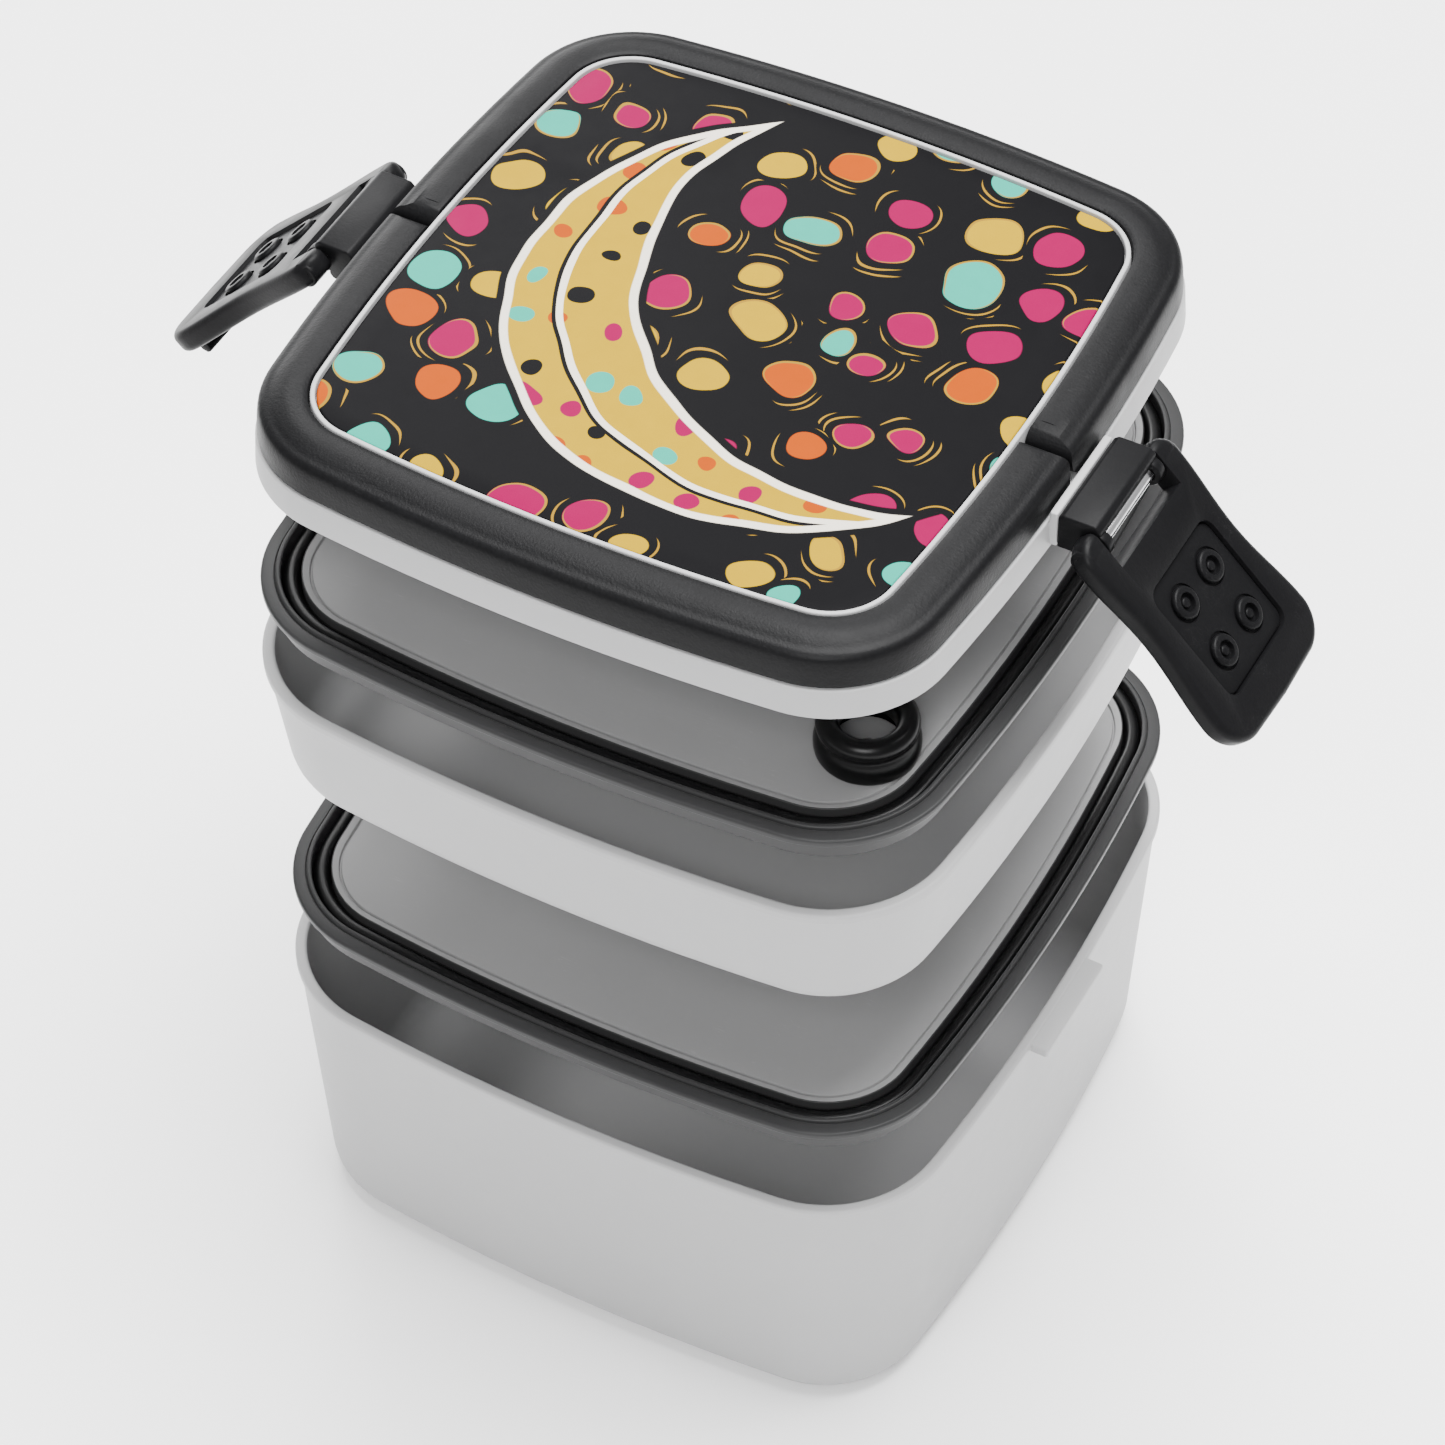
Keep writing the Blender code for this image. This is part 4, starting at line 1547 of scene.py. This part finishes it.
    def build_ring(self) -> None:
        """Models the ring once and parts it into the fixed trim and the carry handle."""
        ring = swept("trim_front", self.ring_section(), self.base, closed=True)
        handle = turned_copy(ring, "carry_bail", Matrix.Identity(4))
        trim_end = self.pivot_y - self.end_radius - self.trim_gap
        rear = block("rear", self.spot(-90, trim_end, 0), self.spot(90, 95, 30))
        combine(ring, "DIFFERENCE", rear)
        bend_y, bend_z = trim_end - self.trim_round, self.ring_top - self.trim_round
        notch = block("notch", self.spot(-90, bend_y, bend_z), self.spot(90, trim_end + 1, 30))
        left, right = self.spot(-95, bend_y, bend_z), self.spot(95, bend_y, bend_z)
        turn = rod("turn", self.trim_round, left, right)
        combine(notch, "DIFFERENCE", turn)
        combine(ring, "DIFFERENCE", notch)
        rounded(ring, 1.1, 5, angle=70.0)
        dress(ring, FINISHES.soft, self.body, "front_trim")
        front = block("front", self.spot(-90, -95, 0), self.spot(90, self.pivot_y, 30))
        combine(front, "DIFFERENCE", self.pivot_rod("round", self.end_radius, -95, 95))
        combine(handle, "DIFFERENCE", front)
        for sign in (1, -1):
            across = sorted((sign * 64.9, sign * 69.0))
            combine(handle, "UNION", self.pivot_rod("lobe", self.bail_radius, *across))
            across = sorted((sign * 60.0, sign * 72.6))
            combine(handle, "DIFFERENCE", self.pivot_rod("hole", self.bore_radius, *across))
        dress(handle, FINISHES.soft, self.handle_body, "carry_handle")

    def build_pins(self) -> None:
        """Models the handle's two pivot pins."""
        for sign, side in ((1, "right"), (-1, "left")):
            across = (sign * 61.8, sign * 72.2)
            pin = self.pivot_rod(f"bail_pin_{side}", self.pin_radius, *across, 0.25)
            dress(pin, FINISHES.steel, self.body, f"handle_pin_{side}")

    def build(self) -> None:
        """Models the outer lid's pieces and dresses them."""
        self.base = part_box("lid_shell")[0].z
        self.build_shell()
        self.build_panel()
        self.build_ring()
        self.build_pins()


@dataclass
class SideLatch:
    """Hinge block, steel pin and swinging latch of one side, modelled on the right."""

    hinge_x: float = 84.6
    hinge_z: float = 5.0
    open_angle: float = math.radians(45.0)
    pin_radius: float = 1.5
    pin_half_length: float = 17.5
    pin_room: float = 0.2
    cheek_radius: float = 2.9
    block_half_length: float = 12.2
    ear_inner: float = 12.7
    ear_outer: float = 18.8
    ear_corner: float = 4.4
    ear_top: float = 3.4
    window_bottom: float = -5.6
    barrel: float = 2.75
    tip: float = 48.4
    face: float = 2.7
    back: float = -2.3
    catch_drop: float = 45.4
    panel_half: float = 12.0
    panel_top: float = -13.7
    panel_bottom: float = -39.7
    panel_corner: float = 2.6
    recess_floor: float = 1.0
    panel_face: float = 1.9
    panel_gap: float = 0.35
    boss_rows: Point2 = (-20.6, -32.8)
    boss_half_pitch: float = 5.5
    moat_radius: float = 3.9
    boss_radius: float = 3.3
    well_radius: float = 1.9
    pip_radius: float = 1.05
    waist: float = 1.7
    flare: float = 0.8
    tip_radius: float = 8.0
    base: float = field(default=0.0, init=False)

    def hinge_block(self) -> bpy.types.Object:
        """The black block with a chamfered top and two round cheeks."""
        corners = [
            (76.6, 1.4),
            (81.4, 1.4),
            (82.3, 2.4),
            (82.5, 7.0),
            (85.4, 7.0),
            (85.4, 8.8),
            (84.3, 9.9),
            (77.6, 9.9),
            (76.6, 9.0),
        ]
        half = self.block_half_length
        made = plate("hinge_body", corners, -half, half, upright)
        rounded(made, 0.45, 3, angle=25.0)
        for end in (-1, 1):
            start = (self.hinge_x, end * 9.9, self.hinge_z)
            stop = (self.hinge_x, end * (half - 0.05), self.hinge_z)
            combine(made, "UNION", rod("cheek", self.cheek_radius, start, stop, 0.3))
        start, stop = (self.hinge_x, -15.0, self.hinge_z), (self.hinge_x, 15.0, self.hinge_z)
        combine(made, "DIFFERENCE", rod("hole", self.pin_radius + self.pin_room, start, stop))
        made.data.transform(Matrix.Translation((0, 0, self.base)))
        return made

    def pin(self) -> bpy.types.Object:
        """The steel hinge pin."""
        start = (self.hinge_x, -self.pin_half_length, self.hinge_z + self.base / MM)
        stop = (self.hinge_x, self.pin_half_length, self.hinge_z + self.base / MM)
        return rod("hinge_pin", self.pin_radius, start, stop, 0.3)

    def outline(self) -> list[Point2]:
        """The latch seen from outside: round ears, a drawn-in waist and a wide round tip."""
        ear, tip, corner, end = self.ear_outer, -self.tip, self.ear_corner, self.tip_radius
        half: list[Point2] = []
        for i in range(9):
            turn = math.radians(90.0 - 90.0 * i / 8)
            across = ear - corner + corner * math.cos(turn)
            half.append((across, self.ear_top - corner + corner * math.sin(turn)))
        for i in range(1, 17):
            share = i / 16
            width = ear + self.flare * share - self.waist * math.sin(math.pi * share) ** 2
            half.append((width, -1.0 + (tip + 9.0) * share))
        for i in range(1, 12):
            turn = math.radians(-84.0 * i / 11)
            half.append((ear - 7.2 + end * math.cos(turn), tip + end + end * math.sin(turn)))
        return half + [(0.0, tip - 0.4)] + [(-a, b) for a, b in reversed(half)]

    def panel_outline(self, gap: float) -> list[Point2]:
        """A rectangle with round corners round the grip inlay.

        Args:
            gap: how far outside the inlay it runs, in millimetres.

        Returns:
            The points, counter-clockwise from the right-hand top.
        """
        half, corner = self.panel_half + gap, self.panel_corner + gap
        top, bottom = self.panel_top + gap, self.panel_bottom - gap
        points = []
        middles = ((half, top, 0), (-half, top, 90), (-half, bottom, 180), (half, bottom, 270))
        for a, b, start in middles:
            cx = a - corner if a > 0 else a + corner
            cy = b - corner if b == top else b + corner
            for i in range(7):
                turn = math.radians(start + 15 * i)
                points.append((cx + corner * math.cos(turn), cy + corner * math.sin(turn)))
        return points

    def swing(self, obj: bpy.types.Object) -> bpy.types.Object:
        """Opens a latch piece about the hinge axis and puts it on the lid.

        Args:
            obj: the piece, modelled upright with the hinge axis at zero.

        Returns:
            The same piece.
        """
        axis = Matrix.Translation((self.hinge_x * MM, 0, self.base + self.hinge_z * MM))
        obj.data.transform(axis @ Matrix.Rotation(-self.open_angle, 4, "Y"))
        obj.data.update()
        return obj

    def latch(self) -> bpy.types.Object:
        """The latch plate with a window between its ears, a hook and a recess for the grip."""
        made = plate("latch_plate", self.outline(), self.back, self.face, facing_out)
        rounded(made, 1.6, 6, angle=50.0)
        inner = self.ear_inner
        window = block("window", (-9.0, -inner, self.window_bottom), (9.0, inner, 9.0))
        combine(made, "DIFFERENCE", window)
        for end in (-1, 1):
            outer = self.ear_outer - 1.2
            ear = rod("ear", self.barrel, (0, end * inner, 0), (0, end * outer, 0), 0.5)
            combine(made, "UNION", ear)
            bore = self.pin_radius + self.pin_room
            hole = rod("hole", bore, (0, end * 10, 0), (0, end * 17.9, 0))
            combine(made, "DIFFERENCE", hole)
        top = -self.catch_drop
        corners = [(-1.5, top), (-5.2, top), (-5.8, top - 0.6), (-5.8, top - 1.6)]
        corners += [(-4.6, top - 2.4), (-1.5, top - 2.4)]
        hook = plate("hook", corners, -12.5, 12.5, upright)
        rounded(hook, 0.3, 3, angle=25.0)
        combine(made, "UNION", hook)
        around = self.panel_outline(self.panel_gap)
        combine(made, "DIFFERENCE", plate("recess", around, self.recess_floor, 5.0, facing_out))
        rounded(made, 0.18, 2, angle=60.0)
        return self.swing(made)

    def grip(self) -> bpy.types.Object:
        """The grip inlay with four ring bosses in round moats, each with a pip in its middle."""
        face = self.panel_face
        floor = self.recess_floor + 0.1
        made = plate("latch_grip", self.panel_outline(0.0), floor, face, facing_out)
        rounded(made, 0.25, 3, angle=50.0)

        def stud(
            name: str, radius: float, low: float, high: float, edge: float = 0.0
        ) -> bpy.types.Object:
            """A rod on the boss's axis, from low to high above the inlay's face."""
            return rod(name, radius, (face + low, a, b), (face + high, a, b), edge)

        for b in self.boss_rows:
            for a in (-self.boss_half_pitch, self.boss_half_pitch):
                combine(made, "DIFFERENCE", stud("moat", self.moat_radius, -0.45, 2))
                boss = stud("boss", self.boss_radius, -0.6, 0.95, 0.6)
                combine(boss, "DIFFERENCE", stud("well", self.well_radius, -0.1, 2))
                combine(boss, "UNION", stud("pip", self.pip_radius, -0.3, 0.65, 0.4))
                combine(made, "UNION", boss)
        return self.swing(made)

    def build(self) -> None:
        """Models the right side, copies it to the left and dresses both."""
        self.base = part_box("lid_shell")[0].z
        pieces = (
            (self.hinge_block(), "hinge_block", "outer_lid", FINISHES.black),
            (self.pin(), "latch_pin", "outer_lid", FINISHES.steel),
            (self.latch(), "latch", "{}_latch", FINISHES.black),
            (self.grip(), "latch_inlay", "{}_latch", FINISHES.black),
        )
        half_turn = Matrix.Rotation(Side.LEFT.value, 4, "Z")
        for right, node, body, finish in pieces:
            left = turned_copy(right, f"{right.name}_left", half_turn)
            right.name = f"{right.name}_right"
            dress(right, finish, body.format("right"), f"{node}_right", LATCH_SMOOTH_ANGLE)
            dress(left, finish, body.format("left"), f"{node}_left", LATCH_SMOOTH_ANGLE)


# ---------------------------------------------------------------- studio


@dataclass(frozen=True)
class Softbox:
    """A square soft light: its place and size in metres and its power in watts."""

    name: str
    place: Corner
    size: float
    power: float

    def hang(self, target: Vector) -> None:
        """Adds the light and turns it to the target."""
        data = bpy.data.lights.new(self.name, "AREA")
        data.shape = "SQUARE"
        data.size = self.size
        data.energy = self.power
        lamp = bpy.data.objects.new(self.name, data)
        lamp.location = self.place
        toward = target - Vector(self.place)
        lamp.rotation_euler = toward.to_track_quat("-Z", "Y").to_euler()
        bpy.context.scene.collection.objects.link(lamp)


@dataclass
class Studio:
    """Pale floor, soft lights and the camera."""

    lights: tuple[Softbox, ...] = (
        Softbox("overhead_softbox", (0.10, 0.30, 1.75), 1.2, 118.0),
        Softbox("front_softbox", (0.55, -1.60, 1.80), 1.0, 52.0),
        Softbox("rear_strip", (-0.9, 1.15, 1.3), 0.5, 16.0),
        Softbox("left_card", (-1.5, 1.1, 0.5), 1.0, 22.0),
    )
    light_target: Corner = (0.0, 0.0, 0.1)

    azimuth: float = math.radians(29.13)
    elevation: float = math.radians(47.22)
    roll: float = math.radians(-0.81)
    place: tuple[float, float, float] = (0.3449, -0.6224, 0.8851)
    focal_length: float = 125.91
    sensor: float = 36.0
    floor_half: float = 4.0
    world_strength: float = 0.55

    def camera(self) -> None:
        """Adds the camera and makes it the scene's."""
        az, el = self.azimuth, self.elevation
        right = Vector((math.cos(az), math.sin(az), 0.0))
        level = Vector((-math.sin(az), math.cos(az), 0.0))
        forward = math.cos(el) * level - math.sin(el) * Vector((0.0, 0.0, 1.0))
        up = right.cross(forward)
        rolled_right = math.cos(self.roll) * right + math.sin(self.roll) * up
        rolled_up = math.cos(self.roll) * up - math.sin(self.roll) * right
        data = bpy.data.cameras.new("camera")
        data.lens = self.focal_length
        data.sensor_width = self.sensor
        data.clip_end = 50.0
        camera = bpy.data.objects.new("camera", data)
        turn = Matrix((rolled_right, rolled_up, -forward)).transposed().to_4x4()
        camera.matrix_world = Matrix.Translation(self.place) @ turn
        bpy.context.scene.collection.objects.link(camera)
        bpy.context.scene.camera = camera

    def floor(self) -> None:
        """Adds the pale floor, a little uneven in tone."""
        clear_selection()
        bpy.ops.mesh.primitive_plane_add(size=2 * self.floor_half)
        floor = bpy.context.object
        floor.name = "studio_floor"
        made = bpy.data.materials.new("studio_floor")
        made.use_nodes = True
        sheet = Sheet(made.node_tree)
        shader = made.node_tree.nodes["Principled BSDF"]
        tone = sheet.noise(3.0, 2.0, sheet.place())
        colour = sheet.blend(tone, (0.93, 0.93, 0.935, 1.0), (0.95, 0.95, 0.95, 1.0))
        sheet.feed(shader, "Base Color", colour)
        shader.inputs["Roughness"].default_value = 0.8
        shader.inputs["Specular IOR Level"].default_value = 0.1
        floor.data.materials.append(made)

    def world(self) -> None:
        """Sets an even white surround."""
        world = bpy.data.worlds.new("studio_world")
        world.use_nodes = True
        background = world.node_tree.nodes["Background"]
        background.inputs["Color"].default_value = (1.0, 1.0, 1.0, 1.0)
        background.inputs["Strength"].default_value = self.world_strength
        bpy.context.scene.world = world

    def build(self) -> None:
        """Sets up the studio."""
        self.camera()
        self.floor()
        self.world()
        for light in self.lights:
            light.hang(Vector(self.light_target))


def main() -> None:
    """Builds the lunch box around the frame."""
    logging.basicConfig(level=logging.INFO, format="%(name)s %(message)s")
    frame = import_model()
    LOG.info("frame with %d nodes", len(frame["nodes"]))
    low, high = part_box("vent_plug")
    vent_at = ((low.x + high.x) / 2 / MM, (low.y + high.y) / 2 / MM)
    Studio().build()
    Tub("deep_tub", "lower_box", "box", depth=68.0, catch_half_length=13.5).build()
    TierLid("tier_lid", "middle_lid", "middle_lid_gasket", "tier_lid").build()
    Tub("shallow_tub", "upper_tray", "tray", depth=30.0).build()
    TierLid(
        "vented_lid", "inner_lid", "inner_lid_gasket", "top_tier_lid", vented=True, vent_at=vent_at
    ).build()
    Vent().build()
    OuterLid().build()
    SideLatch().build()
    clear_selection()


if __name__ == "__main__":
    main()
